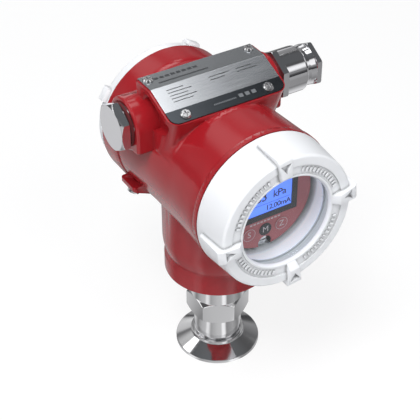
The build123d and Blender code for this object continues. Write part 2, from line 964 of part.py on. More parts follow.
with BuildPart() as earth_screw:
    slotted_screws(
        pad_screw_plane.offset(earth_washer_thickness),
        earth_screw_head, earth_screw_head_height, earth_screw_radius, earth_screw_length, earth_screw_slot,
    )
save(earth_screw.part, "earth_screw")

# Front cover: screwed ring with a stepped face, a window lip and four lugs
cover_tan = tan(radians(cover_taper))
front_edge_radius = cover_radius - (front_cover_length - cover_edge) * cover_tan
front_land = front_edge_radius - cover_edge - rim_land
window_edge = lip_radius - lip_width
glass_pocket = glass_radius + seat_gap
with BuildPart() as front_cover:
    turned(
        [
            (skirt_bore, front_seat - front_thread_length + thread_runout),
            (skirt_radius, front_seat - front_thread_length + thread_runout),
            (skirt_radius, front_seat + cover_seal_groove),
            (cover_seal_groove_radius, front_seat + cover_seal_groove),
            (cover_seal_groove_radius, front_seat),
            (cover_radius, front_seat),
            (front_edge_radius, cover_front - cover_edge),
            (front_edge_radius - cover_edge, cover_front),
            (front_land, cover_front),
            (front_land, cover_front - land_step),
            (lip_radius, cover_front - land_step),
            (lip_radius, cover_front - land_step + lip_height),
            (window_edge, cover_front - land_step + lip_height),
            (window_radius, glass_front),
            (glass_pocket, glass_front),
            (glass_pocket, clamp_ring_front),
            (skirt_bore, clamp_ring_front),
        ],
        radial(-1),
        barrel_axis,
    )
    lugs(-1, front_lug_turn, front_seat, cover_front, front_lug_tail)
save(front_cover.part, "front_cover")

# Window glass, its gasket and the ring that clamps it from behind
with BuildPart() as cover_glass:
    discs(facing(-1, glass_back), glass_radius, glass_thickness)
save(cover_glass.part, "cover_glass")

with BuildPart() as glass_gasket:
    washers(facing(-1, clamp_ring_front), glass_radius, gasket_bore, gasket_thickness)
save(glass_gasket.part, "glass_gasket")

with BuildPart() as glass_clamp_ring:
    ring_back = facing(-1, clamp_ring_front - clamp_ring_height)
    washers(ring_back, skirt_bore - seat_gap, clamp_ring_bore, clamp_ring_height)
    blocks(ring_back, 2 * skirt_bore, clamp_slot_width, clamp_slot_depth, mode=Mode.SUBTRACT)
save(glass_clamp_ring.part, "glass_clamp_ring")

# Cover seals: one rubber ring behind each screwed cover
seal_out = cover_seal_groove - cover_seal_section / 2
with BuildPart() as front_seal:
    rubber_ring(radial(-1), barrel_axis, cover_seal_pitch, front_seat + seal_out, cover_seal_section)
save(front_seal.part, "front_seal")

with BuildPart() as rear_seal:
    rubber_ring(radial(1), barrel_axis, cover_seal_pitch, rear_seat + seal_out, cover_seal_section)
save(rear_seal.part, "rear_seal")

# Rear cover: blind screwed cover with four lugs
rear_edge_radius = cover_radius - (rear_cover_length - cover_edge) * cover_tan
rear_land = rear_edge_radius - cover_edge - rim_land
with BuildPart() as rear_cover:
    turned(
        [
            (0, cover_rear - rear_cover_face),
            (skirt_bore, cover_rear - rear_cover_face),
            (skirt_bore, rear_seat - rear_thread_length + thread_runout),
            (skirt_radius, rear_seat - rear_thread_length + thread_runout),
            (skirt_radius, rear_seat + cover_seal_groove),
            (cover_seal_groove_radius, rear_seat + cover_seal_groove),
            (cover_seal_groove_radius, rear_seat),
            (cover_radius, rear_seat),
            (rear_edge_radius, cover_rear - cover_edge),
            (rear_edge_radius - cover_edge, cover_rear),
            (rear_land, cover_rear),
            (rear_land, cover_rear - land_step),
            (0, cover_rear - land_step),
        ],
        radial(1),
        barrel_axis,
    )
    lugs(1, rear_lug_turn, rear_seat, cover_rear, rear_lug_tail)
save(rear_cover.part, "rear_cover")

# Display face: thin round plate with a window, three button holes and a notch
button_hole = button_radius + turn_gap
bezel_hole_width = lcd_width + 2 * bezel_width + 2 * seat_gap
bezel_hole_height = lcd_height + 2 * bezel_width + 2 * seat_gap
lcd_place = ((0, lcd_rise),)
with BuildPart() as display_face:
    discs(facing(-1, face_back), face_radius, face_thickness)
    blocks(facing(-1, face_back), bezel_hole_width, bezel_hole_height, face_thickness, lcd_place, Mode.SUBTRACT)
    discs(facing(-1, face_back), button_hole, face_thickness, button_places, Mode.SUBTRACT)
    discs(facing(-1, face_back), notch_radius, face_thickness, notch_place, Mode.SUBTRACT)
save(display_face.part, "display_face")

# Display housing: round moulding open at the back, with posts and a walled notch
with BuildPart() as display_housing:
    discs(facing(-1, puck_back), puck_radius, puck_depth)
    discs(facing(-1, puck_back), puck_radius - puck_wall, puck_depth - puck_wall, mode=Mode.SUBTRACT)
    with BuildSketch(facing(-1, notch_floor_back)):
        with Locations(*notch_place):
            Circle(notch_radius + notch_wall)
        Circle(puck_radius, mode=Mode.INTERSECT)
    extrude(amount=face_back - notch_floor_back)
    discs(facing(-1, notch_floor), notch_radius, face_back - notch_floor, notch_place, Mode.SUBTRACT)
    discs(facing(-1, notch_floor_back), head_screw_shank + seat_gap, puck_wall, notch_place, Mode.SUBTRACT)
    lug_clearance = head_lug_radius + face_gap
    discs(facing(-1, notch_floor_back), lug_clearance, puck_back - notch_floor_back, notch_place, Mode.SUBTRACT)
    discs(
        facing(-1, display_board_front),
        display_post_radius, puck_inside - display_board_front, display_posts,
    )
    discs(
        facing(-1, display_board_front),
        board_screw_shank + seat_gap, puck_inside - display_board_front, display_posts, Mode.SUBTRACT,
    )
    blocks(facing(-1, puck_inside), bezel_hole_width, bezel_hole_height, puck_wall, lcd_place, Mode.SUBTRACT)
    discs(facing(-1, puck_inside), button_hole, puck_wall, button_places, Mode.SUBTRACT)
save(display_housing.part, "display_housing")

# Liquid crystal display: dark bezel, glass panel and backlight
with BuildPart() as lcd_bezel:
    bezel_back = facing(-1, bezel_front - bezel_depth)
    blocks(bezel_back, lcd_width + 2 * bezel_width, lcd_height + 2 * bezel_width, bezel_depth, lcd_place)
    blocks(bezel_back, lcd_width, lcd_height, bezel_depth, lcd_place, Mode.SUBTRACT)
save(lcd_bezel.part, "lcd_bezel")

with BuildPart() as lcd_panel:
    panel_width = lcd_width - 2 * seat_gap
    panel_height = lcd_height - 2 * seat_gap
    blocks(facing(-1, lcd_back), panel_width, panel_height, lcd_thickness, lcd_place)
save(lcd_panel.part, "lcd_panel")

with BuildPart() as lcd_backlight:
    light_width = lcd_width + 2 * light_margin
    light_height = lcd_height + 2 * light_margin
    blocks(facing(-1, display_board_front), light_width, light_height, light_thickness, lcd_place)
save(lcd_backlight.part, "lcd_backlight")

# Display board: round circuit board cut away round the notch
with BuildPart() as display_board:
    board_plane = facing(-1, display_board_back)
    discs(board_plane, display_board_radius, display_board_thickness)
    notch_cut = notch_radius + notch_wall + face_gap
    discs(board_plane, notch_cut, display_board_thickness, notch_place, Mode.SUBTRACT)
    board_hole = board_screw_shank + seat_gap
    discs(board_plane, board_hole, display_board_thickness, display_posts, Mode.SUBTRACT)
save(display_board.part, "display_board")

# Display board screws, driven from behind into the posts
behind_posts = [(-x, y) for x, y in display_posts]
with BuildPart() as display_board_screws:
    slotted_screws(
        facing(1, -display_board_back),
        board_screw_head, board_screw_head_height, board_screw_shank,
        puck_inside - display_board_back, board_screw_slot, behind_posts,
    )
save(display_board_screws.part, "display_board_screws")

# Three push buttons and the switch domes under them
button_base = puck_inside - face_gap - button_ear
for name, place in zip(("button_s", "button_m", "button_z"), button_places):
    with BuildPart() as button:
        blocks(facing(-1, button_base), 2 * button_ear_reach, button_ear_width, button_ear, (place,))
        discs(facing(-1, button_base), button_radius, display_front + button_proud - button_base, (place,))
    save(button.part, name)

with BuildPart() as button_domes:
    dome_height = button_base - button_travel - seat_gap - display_board_front
    discs(facing(-1, display_board_front), dome_radius, dome_height, button_places)
save(button_domes.part, "button_domes")

# Display head screw, standing in the notch
with BuildPart() as display_head_screw:
    slotted_screws(
        facing(-1, notch_floor),
        head_screw_head, head_screw_head_height, head_screw_shank,
        head_screw_length, head_screw_slot, notch_place,
    )
save(display_head_screw.part, "display_head_screw")

# Electronics case: deep cup with board posts and a lug for the display head screw
case_back = facing(-1, -front_floor)
case_inside = facing(-1, case_floor)
lug_base = notch_floor_back - head_screw_length
with BuildPart() as electronics_case:
    discs(case_back, case_radius, front_floor + puck_back)
    discs(case_inside, case_bore, puck_back - case_floor, mode=Mode.SUBTRACT)
    discs(case_inside, post_radius, main_board_back - case_floor, board_posts)
    with BuildSketch(facing(-1, lug_base)):
        with Locations(*notch_place):
            Circle(head_lug_radius)
        Circle(case_radius, mode=Mode.INTERSECT)
    extrude(amount=notch_floor_back - lug_base)
    discs(
        facing(-1, notch_floor_back),
        head_screw_shank + seat_gap, puck_wall - head_screw_length - seat_gap, notch_place, Mode.SUBTRACT,
    )
    discs(case_back, feed_radius + 1, case_wall, feed_place, Mode.SUBTRACT)
    discs(case_back, module_screw_shank + seat_gap, case_wall, module_screw_places, Mode.SUBTRACT)
    discs(
        facing(-1, main_board_back),
        board_screw_shank + seat_gap, -board_screw_length, board_posts, Mode.SUBTRACT,
    )
save(electronics_case.part, "electronics_case")

# Main board with its processor, transformer coil and the connector up to the display
with BuildPart() as main_board:
    board_plane = facing(-1, main_board_back)
    discs(board_plane, main_board_radius, main_board_thickness)
    board_hole = board_screw_shank + seat_gap
    discs(board_plane, board_hole, main_board_thickness, board_posts, Mode.SUBTRACT)
save(main_board.part, "main_board")

with BuildPart() as processor_chip:
    blocks(facing(-1, main_board_front), chip_size, chip_size, chip_height, ((chip_x, chip_y),))
save(processor_chip.part, "processor_chip")

with BuildPart() as transformer_coil:
    discs(facing(-1, main_board_back), coil_radius, -coil_height, ((coil_x, coil_y),))
save(transformer_coil.part, "transformer_coil")

with BuildPart() as board_connector:
    connector_height = display_board_back - main_board_front
    connector_place = ((0, -connector_drop),)
    blocks(
        facing(-1, main_board_front),
        connector_length, connector_width, connector_height, connector_place,
    )
save(board_connector.part, "board_connector")

# Screws of the electronics module
with BuildPart() as board_screws:
    slotted_screws(
        facing(-1, main_board_front),
        board_screw_head, board_screw_head_height, board_screw_shank,
        board_screw_length, board_screw_slot, board_posts,
    )
save(board_screws.part, "board_screws")

with BuildPart() as module_screws:
    slotted_screws(
        case_inside,
        module_screw_head, module_screw_head_height, module_screw_shank,
        module_screw_length, module_screw_slot, module_screw_places,
    )
save(module_screws.part, "module_screws")

# Feedthrough: sealed bush in the wall between the chambers with its row of pins
feed_pins = [(feed_pin_pitch * (i - (feed_pin_count - 1) / 2), feed_rise) for i in range(feed_pin_count)]
with BuildPart() as feedthrough:
    discs(rear_wall, feed_flange, feed_flange_thickness, feed_place)
    discs(rear_wall, feed_radius, -wall_thickness, feed_place)
    discs(rear_wall.offset(feed_flange_thickness), feed_pin_radius, feed_pin_reach, feed_pins)
    discs(rear_wall.offset(-wall_thickness), feed_pin_radius, -feed_pin_reach, feed_pins)
save(feedthrough.part, "feedthrough")

# Terminal block: moulded block with barriers between the terminals and a ledge for its screws
block_place = ((0, -block_drop),)
ledge_place = ((0, block_screw_y),)
barrier_places = [
    (terminal_pitch * (i - terminal_count / 2), -block_drop) for i in range(terminal_count + 1)
]
with BuildPart() as terminal_block:
    blocks(rear_wall, block_width, block_height, block_depth, block_place)
    blocks(rear_wall, block_width, block_ledge, block_ledge_depth, ledge_place)
    fillet(terminal_block.edges().filter_by(Axis.Y), block_corner)
    block_face = rear_wall.offset(block_depth)
    blocks(block_face, barrier_thickness, barrier_height, barrier_proud, barrier_places)
    depth = terminal_screw_length - terminal_washer_thickness + seat_gap
    discs(block_face, terminal_screw_shank + seat_gap, -depth, terminal_places, Mode.SUBTRACT)
    block_hole = block_screw_shank + seat_gap
    discs(rear_wall, block_hole, block_ledge_depth, block_screw_places, Mode.SUBTRACT)
save(terminal_block.part, "terminal_block")

with BuildPart() as terminal_washers:
    washer_bore = terminal_screw_shank + seat_gap
    washers(block_face, terminal_washer_radius, washer_bore, terminal_washer_thickness, terminal_places)
save(terminal_washers.part, "terminal_washers")

with BuildPart() as terminal_screws:
    slotted_screws(
        block_face.offset(terminal_washer_thickness),
        terminal_screw_head, terminal_screw_head_height, terminal_screw_shank,
        terminal_screw_length, terminal_screw_slot, terminal_places,
    )
save(terminal_screws.part, "terminal_screws")

with BuildPart() as block_screws:
    slotted_screws(
        rear_wall.offset(block_ledge_depth),
        block_screw_head, block_screw_head_height, block_screw_shank,
        block_screw_length, terminal_screw_slot, block_screw_places,
    )
save(block_screws.part, "block_screws")

with BuildPart() as inner_earth_screw:
    slotted_screws(
        rear_wall,
        earth_screw_head, earth_screw_head_height, earth_screw_radius,
        inner_earth_length, earth_screw_slot, inner_earth_place,
    )
save(inner_earth_screw.part, "inner_earth_screw")

# Blanking plug: hexagon head, collar and hollow threaded shank, on a flat washer
plug_seat = boss_reach + face_gap
plug_collar_base = plug_seat + plug_washer_thickness
plug_hex_base = plug_collar_base + plug_collar_height
with BuildPart() as blanking_plug:
    hexagon(
        across(-1, plug_hex_base), sideways(-1), conduit_axis,
        plug_hex_base, plug_flats, plug_hex_height, hex_back_bevel, hex_bevel,
    )
    discs(across(-1, plug_collar_base), plug_collar_radius, plug_collar_height)
    discs(across(-1, plug_collar_base), conduit_shank, -(plug_shank + plug_washer_thickness))
    plug_end = across(-1, plug_seat - plug_shank)
    discs(plug_end, plug_bore, plug_shank, mode=Mode.SUBTRACT)
save(blanking_plug.part, "blanking_plug")

with BuildPart() as plug_washer:
    washers(across(-1, plug_seat), plug_washer_radius, conduit_shank + seat_gap, plug_washer_thickness)
save(plug_washer.part, "plug_washer")

# Cable gland body: hexagon, smooth cup and hollow threaded shank, on a flat washer
gland_seat = boss_reach + face_gap
gland_hex_base = gland_seat + gland_washer_thickness
gland_cup_base = gland_hex_base + gland_hex_height
gland_cup_end = gland_cup_base + gland_cup_length
grommet_base = gland_hex_base + gland_cup_floor
grommet_end = grommet_base + grommet_length
grommet_radius = gland_cup_bore - seat_gap
with BuildPart() as gland_body:
    hexagon(
        across(1, gland_hex_base), sideways(1), conduit_axis,
        gland_hex_base, gland_flats, gland_hex_height, hex_back_bevel, hex_back_bevel,
    )
    turned(
        [
            (0, gland_seat - gland_shank),
            (conduit_shank, gland_seat - gland_shank),
            (conduit_shank, gland_hex_base),
            (gland_cup_radius - gland_cup_edge, gland_cup_base),
            (gland_cup_radius, gland_cup_base),
            (gland_cup_radius, gland_cup_end - gland_cup_edge),
            (gland_cup_radius - gland_cup_edge / 2, gland_cup_end - gland_cup_edge / 4),
            (gland_cup_radius - gland_cup_edge, gland_cup_end),
            (0, gland_cup_end),
        ],
        sideways(1),
        conduit_axis,
    )
    turned(
        [
            (0, gland_seat - gland_shank),
            (gland_bore, gland_seat - gland_shank),
            (gland_bore, grommet_base),
            (gland_cup_bore, grommet_base),
            (gland_cup_bore, gland_cup_end),
            (0, gland_cup_end),
        ],
        sideways(1),
        conduit_axis,
        Mode.SUBTRACT,
    )
save(gland_body.part, "gland_body")

with BuildPart() as gland_washer:
    washers(across(1, gland_seat), gland_washer_radius, conduit_shank + seat_gap, gland_washer_thickness)
save(gland_washer.part, "gland_washer")

with BuildPart() as cable_grommet:
    washers(across(1, grommet_base), grommet_radius, cable_bore, grommet_length)
save(cable_grommet.part, "cable_grommet")

with BuildPart() as thrust_washer:
    washers(across(1, grommet_end), grommet_radius, cap_bore, thrust_washer_thickness)
save(thrust_washer.part, "thrust_washer")

# Gland cap nut: screwed shank, round neck, cone and end hexagon
cap_shank = gland_cup_bore - screw_gap
cap_shank_end = grommet_end + thrust_washer_thickness + face_gap
cap_neck_base = gland_cup_end + face_gap
cap_cone_base = cap_neck_base + cap_neck_length
cap_hex_base = cap_cone_base + cap_cone_length
with BuildPart() as gland_cap_nut:
    hexagon(
        across(1, cap_hex_base), sideways(1), conduit_axis,
        cap_hex_base, cap_flats, cap_hex_height, hex_back_bevel, hex_back_bevel,
    )
    turned(
        [
            (0, cap_shank_end),
            (cap_shank, cap_shank_end),
            (cap_shank, cap_neck_base),
            (cap_neck_radius, cap_neck_base),
            (cap_neck_radius, cap_cone_base),
            (cap_flats / 2, cap_hex_base),
            (0, cap_hex_base),
        ],
        sideways(1),
        conduit_axis,
    )
    cap_length = cap_hex_base + cap_hex_height - cap_shank_end
    discs(across(1, cap_shank_end), cap_bore, cap_length, mode=Mode.SUBTRACT)
save(gland_cap_nut.part, "gland_cap_nut")
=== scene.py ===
import json
import math

import bmesh
import bpy
from mathutils import Matrix, Vector


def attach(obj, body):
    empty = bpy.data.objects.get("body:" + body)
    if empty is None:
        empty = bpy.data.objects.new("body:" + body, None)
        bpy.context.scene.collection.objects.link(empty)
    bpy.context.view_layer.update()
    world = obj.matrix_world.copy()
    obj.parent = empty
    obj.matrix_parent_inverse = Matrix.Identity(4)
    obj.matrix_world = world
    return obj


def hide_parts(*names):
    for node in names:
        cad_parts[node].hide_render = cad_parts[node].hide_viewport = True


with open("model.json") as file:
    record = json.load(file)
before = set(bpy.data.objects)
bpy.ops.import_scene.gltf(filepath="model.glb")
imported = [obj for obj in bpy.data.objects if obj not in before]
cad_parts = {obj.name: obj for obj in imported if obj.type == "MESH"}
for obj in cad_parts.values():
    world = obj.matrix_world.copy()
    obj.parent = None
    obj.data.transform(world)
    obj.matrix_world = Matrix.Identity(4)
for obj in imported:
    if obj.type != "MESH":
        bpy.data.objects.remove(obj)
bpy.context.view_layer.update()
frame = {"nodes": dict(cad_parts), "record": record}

node = frame["nodes"]

# Studio: a white sweep, a pale room with darker bands that bright metal can show, and four
# soft lamps. The camera looks down on the display side from the blanking plug's end.
target = Vector((-0.00400, 0.00214, 0.09713))
azimuth = math.radians(-31.82)
elevation = math.radians(37.43)
back = Vector((
    math.sin(azimuth) * math.cos(elevation),
    -math.cos(azimuth) * math.cos(elevation),
    math.sin(elevation),
))
right = Vector((math.cos(azimuth), math.sin(azimuth), 0))
up = back.cross(right)
distance = 0.65332
camera = bpy.data.objects.new("camera", bpy.data.cameras.new("camera"))
camera.data.lens = 98.64
camera.data.sensor_width = 36
camera.data.clip_start = 0.01
camera.matrix_world = Matrix((
    (right.x, up.x, back.x, target.x + distance * back.x),
    (right.y, up.y, back.y, target.y + distance * back.y),
    (right.z, up.z, back.z, target.z + distance * back.z),
    (0, 0, 0, 1),
))
scene = bpy.context.scene
scene.collection.objects.link(camera)
scene.camera = camera
scene.view_settings.view_transform = "Standard"

for lamp_name, place, size, power in (
    ("key_lamp", (-0.45, -0.30, 1.10), 0.45, 9.4),
    ("front_lamp", (0.05, -0.85, 1.05), 0.35, 3.2),
    ("fill_lamp", (0.55, -0.95, 0.45), 0.5, 1.0),
    ("back_lamp", (0.25, 0.95, 0.65), 0.6, 2.0),
):
    lamp = bpy.data.objects.new(lamp_name, bpy.data.lights.new(lamp_name, "AREA"))
    lamp.data.size = size
    lamp.data.energy = power
    lamp.location = place
    lamp.visible_glossy = False
    lamp.rotation_euler = (Vector((0, 0, 0.1)) - Vector(place)).to_track_quat("-Z", "Y").to_euler()
    scene.collection.objects.link(lamp)

# The room lights evenly, and what bright metal mirrors of it is bands and soft patches of light.
world = bpy.data.worlds.new("pale_room")
scene.world = world
world.use_nodes = True
sky = world.node_tree
sky_light = sky.nodes["Background"]
sky_place = sky.nodes.new("ShaderNodeTexCoord")
sky_axes = sky.nodes.new("ShaderNodeSeparateXYZ")
sky_bands = sky.nodes.new("ShaderNodeValToRGB")
sky_bands.color_ramp.elements[0].color = (0.05, 0.05, 0.055, 1)
sky_bands.color_ramp.elements[1].color = (0.17, 0.18, 0.19, 1)
for height, grey in ((0.12, 0.10), (0.22, 0.34), (0.42, 0.22), (0.56, 0.13), (0.74, 0.11)):
    sky_bands.color_ramp.elements.new(height).color = (grey, grey, grey * 1.02, 1)
sky.links.new(sky_place.outputs["Generated"], sky_axes.inputs[0])
sky.links.new(sky_axes.outputs["Z"], sky_bands.inputs["Fac"])
sky_sum = sky_bands.outputs["Color"]
for heading, lit_from, full_from, strength in (
    ((0.15, 0.17, 0.974), 0.951, 0.974, 3.2),
    ((-0.10, 0.68, 0.73), 0.940, 0.992, 0.9),
    ((-0.385, 0.511, 0.768), 0.990, 0.995, 2.4),
    ((0.42, 0.675, 0.608), 0.960, 0.990, 0.2),
    ((0.05, 0.95, 0.25), 0.955, 0.985, 0.45),
    ((0.42, 0.50, 0.757), 0.9945, 0.9965, 2.4),
    ((-0.85, 0.35, 0.40), 0.930, 0.975, 1.6),
    ((-0.70, -0.40, 0.60), 0.940, 0.985, 1.4),
    ((0.35, -0.75, 0.55), 0.950, 0.985, 1.2),
    ((0.90, -0.10, 0.42), 0.965, 0.985, 0.5),
    ((0.30, 0.90, 0.30), 0.960, 0.990, 1.2),
):
    sky_toward = sky.nodes.new("ShaderNodeVectorMath")
    sky_toward.operation = "DOT_PRODUCT"
    sky_toward.inputs[1].default_value = Vector(heading).normalized()
    sky_patch = sky.nodes.new("ShaderNodeMapRange")
    sky_patch.interpolation_type = "SMOOTHSTEP"
    sky_patch.inputs["From Min"].default_value = lit_from
    sky_patch.inputs["From Max"].default_value = full_from
    sky_patch.inputs["To Max"].default_value = strength
    sky_add = sky.nodes.new("ShaderNodeMix")
    sky_add.data_type = "RGBA"
    sky_add.blend_type = "ADD"
    sky_add.inputs["Factor"].default_value = 1
    sky.links.new(sky_place.outputs["Generated"], sky_toward.inputs[0])
    sky.links.new(sky_toward.outputs["Value"], sky_patch.inputs["Value"])
    sky.links.new(sky_sum, sky_add.inputs["A"])
    sky.links.new(sky_patch.outputs["Result"], sky_add.inputs["B"])
    sky_sum = sky_add.outputs["Result"]
sky_path = sky.nodes.new("ShaderNodeLightPath")
sky_seen = sky.nodes.new("ShaderNodeMix")
sky_seen.data_type = "RGBA"
sky_seen.inputs["A"].default_value = (0.31, 0.32, 0.34, 1)
sky.links.new(sky_path.outputs["Is Glossy Ray"], sky_seen.inputs["Factor"])
sky.links.new(sky_sum, sky_seen.inputs["B"])
sky.links.new(sky_seen.outputs["Result"], sky_light.inputs["Color"])
sky_light.inputs["Strength"].default_value = 0.85

# The floor shows nearly white to the camera, and bright metal mirrors a ring of cards in it.
floor_mesh = bpy.data.meshes.new("floor")
floor_mesh.from_pydata([(-4, -4, 0), (4, -4, 0), (4, 4, 0), (-4, 4, 0)], [], [(0, 1, 2, 3)])
floor = bpy.data.objects.new("floor", floor_mesh)
scene.collection.objects.link(floor)
floor_white = bpy.data.materials.new("floor_white")
floor_white.use_nodes = True
floor_tree = floor_white.node_tree
floor_tree.nodes.remove(floor_tree.nodes["Principled BSDF"])
floor_matt = floor_tree.nodes.new("ShaderNodeBsdfDiffuse")
floor_matt.inputs["Color"].default_value = (0.74, 0.74, 0.74, 1)
floor_glow = floor_tree.nodes.new("ShaderNodeEmission")
floor_glow.inputs["Strength"].default_value = 1.12
floor_path = floor_tree.nodes.new("ShaderNodeLightPath")
floor_share = floor_tree.nodes.new("ShaderNodeMath")
floor_share.operation = "MULTIPLY"
floor_share.inputs[1].default_value = 0.72
floor_mix = floor_tree.nodes.new("ShaderNodeMixShader")
floor_place = floor_tree.nodes.new("ShaderNodeTexCoord")
floor_turn = floor_tree.nodes.new("ShaderNodeTexGradient")
floor_turn.gradient_type = "RADIAL"
floor_cards = floor_tree.nodes.new("ShaderNodeValToRGB")
floor_cards.color_ramp.elements[0].color = (0.55, 0.55, 0.56, 1)
floor_cards.color_ramp.elements[1].color = (0.55, 0.55, 0.56, 1)
for turn, grey in (
    (0.03, 0.60), (0.045, 0.95), (0.065, 0.92), (0.09, 0.42), (0.16, 0.60), (0.20, 0.64), (0.215, 1.1),
    (0.24, 1.05), (0.26, 0.30), (0.34, 0.42), (0.42, 0.24), (0.50, 0.70), (0.56, 0.85), (0.60, 0.22),
    (0.72, 0.30), (0.80, 0.66), (0.85, 0.70), (0.915, 0.26), (0.97, 0.48),
):
    floor_cards.color_ramp.elements.new(turn).color = (grey, grey, grey * 1.01, 1)
floor_mirrored = floor_tree.nodes.new("ShaderNodeEmission")
floor_mirrored.inputs["Strength"].default_value = 0.98
floor_glossy = floor_tree.nodes.new("ShaderNodeMixShader")
floor_tree.links.new(floor_place.outputs["Object"], floor_turn.inputs["Vector"])
floor_tree.links.new(floor_turn.outputs["Fac"], floor_cards.inputs["Fac"])
floor_tree.links.new(floor_cards.outputs["Color"], floor_mirrored.inputs["Color"])
floor_tree.links.new(floor_path.outputs["Is Camera Ray"], floor_share.inputs[0])
floor_tree.links.new(floor_share.outputs[0], floor_mix.inputs["Fac"])
floor_tree.links.new(floor_matt.outputs[0], floor_mix.inputs[1])
floor_tree.links.new(floor_glow.outputs[0], floor_mix.inputs[2])
floor_tree.links.new(floor_path.outputs["Is Glossy Ray"], floor_glossy.inputs["Fac"])
floor_tree.links.new(floor_mix.outputs[0], floor_glossy.inputs[1])
floor_tree.links.new(floor_mirrored.outputs[0], floor_glossy.inputs[2])
floor_tree.links.new(floor_glossy.outputs[0], floor_tree.nodes["Material Output"].inputs["Surface"])
floor_mesh.materials.append(floor_white)

# Clamp ferrule: turned from stainless bar, with a thin rim, a long sloped back for the clamp
# and a short stub that is welded to the sensor above it.
# Its bright finish is the first of those that take tone, grain and roughness from one node group.
made_surface = bpy.data.node_groups.new("made_surface", "ShaderNodeTree")
for socket, kind, value in (
    ("Colour", "NodeSocketColor", (0.5, 0.5, 0.5, 1)),
    ("Variation", "NodeSocketFloat", 0.05),
    ("Scale", "NodeSocketFloat", 300.0),
    ("Stretch", "NodeSocketVector", (1, 1, 1)),
    ("Roughness", "NodeSocketFloat", 0.3),
    ("Spread", "NodeSocketFloat", 0.1),
):
    made_surface.interface.new_socket(socket, in_out="INPUT", socket_type=kind).default_value = value
for socket, kind in (
    ("Colour", "NodeSocketColor"), ("Roughness", "NodeSocketFloat"), ("Height", "NodeSocketFloat"),
):
    made_surface.interface.new_socket(socket, in_out="OUTPUT", socket_type=kind)
inside = made_surface.nodes.new("NodeGroupInput")
outside = made_surface.nodes.new("NodeGroupOutput")
place = made_surface.nodes.new("ShaderNodeTexCoord")
stretched = made_surface.nodes.new("ShaderNodeMapping")
grain = made_surface.nodes.new("ShaderNodeTexNoise")
grain.inputs["Detail"].default_value = 4
cloud = made_surface.nodes.new("ShaderNodeTexNoise")
cloud.inputs["Scale"].default_value = 35
cloud.inputs["Detail"].default_value = 3
lighter = made_surface.nodes.new("ShaderNodeMapRange")
lowest = made_surface.nodes.new("ShaderNodeMath")
lowest.operation = "SUBTRACT"
lowest.inputs[0].default_value = 1
highest = made_surface.nodes.new("ShaderNodeMath")
highest.operation = "ADD"
highest.inputs[0].default_value = 1
shade = made_surface.nodes.new("ShaderNodeHueSaturation")
rougher = made_surface.nodes.new("ShaderNodeMath")
rougher.operation = "MULTIPLY_ADD"
centred = made_surface.nodes.new("ShaderNodeMath")
centred.operation = "SUBTRACT"
centred.inputs[1].default_value = 0.5
for source, end in (
    (place.outputs["Object"], stretched.inputs["Vector"]),
    (inside.outputs["Stretch"], stretched.inputs["Scale"]),
    (stretched.outputs["Vector"], grain.inputs["Vector"]),
    (inside.outputs["Scale"], grain.inputs["Scale"]),
    (place.outputs["Object"], cloud.inputs["Vector"]),
    (inside.outputs["Variation"], lowest.inputs[1]),
    (inside.outputs["Variation"], highest.inputs[1]),
    (cloud.outputs["Fac"], lighter.inputs["Value"]),
    (lowest.outputs[0], lighter.inputs["To Min"]),
    (highest.outputs[0], lighter.inputs["To Max"]),
    (lighter.outputs["Result"], shade.inputs["Value"]),
    (inside.outputs["Colour"], shade.inputs["Color"]),
    (shade.outputs["Color"], outside.inputs["Colour"]),
    (grain.outputs["Fac"], centred.inputs[0]),
    (centred.outputs[0], rougher.inputs[0]),
    (inside.outputs["Spread"], rougher.inputs[1]),
    (inside.outputs["Roughness"], rougher.inputs[2]),
    (rougher.outputs[0], outside.inputs["Roughness"]),
    (grain.outputs["Fac"], outside.inputs["Height"]),
):
    made_surface.links.new(source, end)


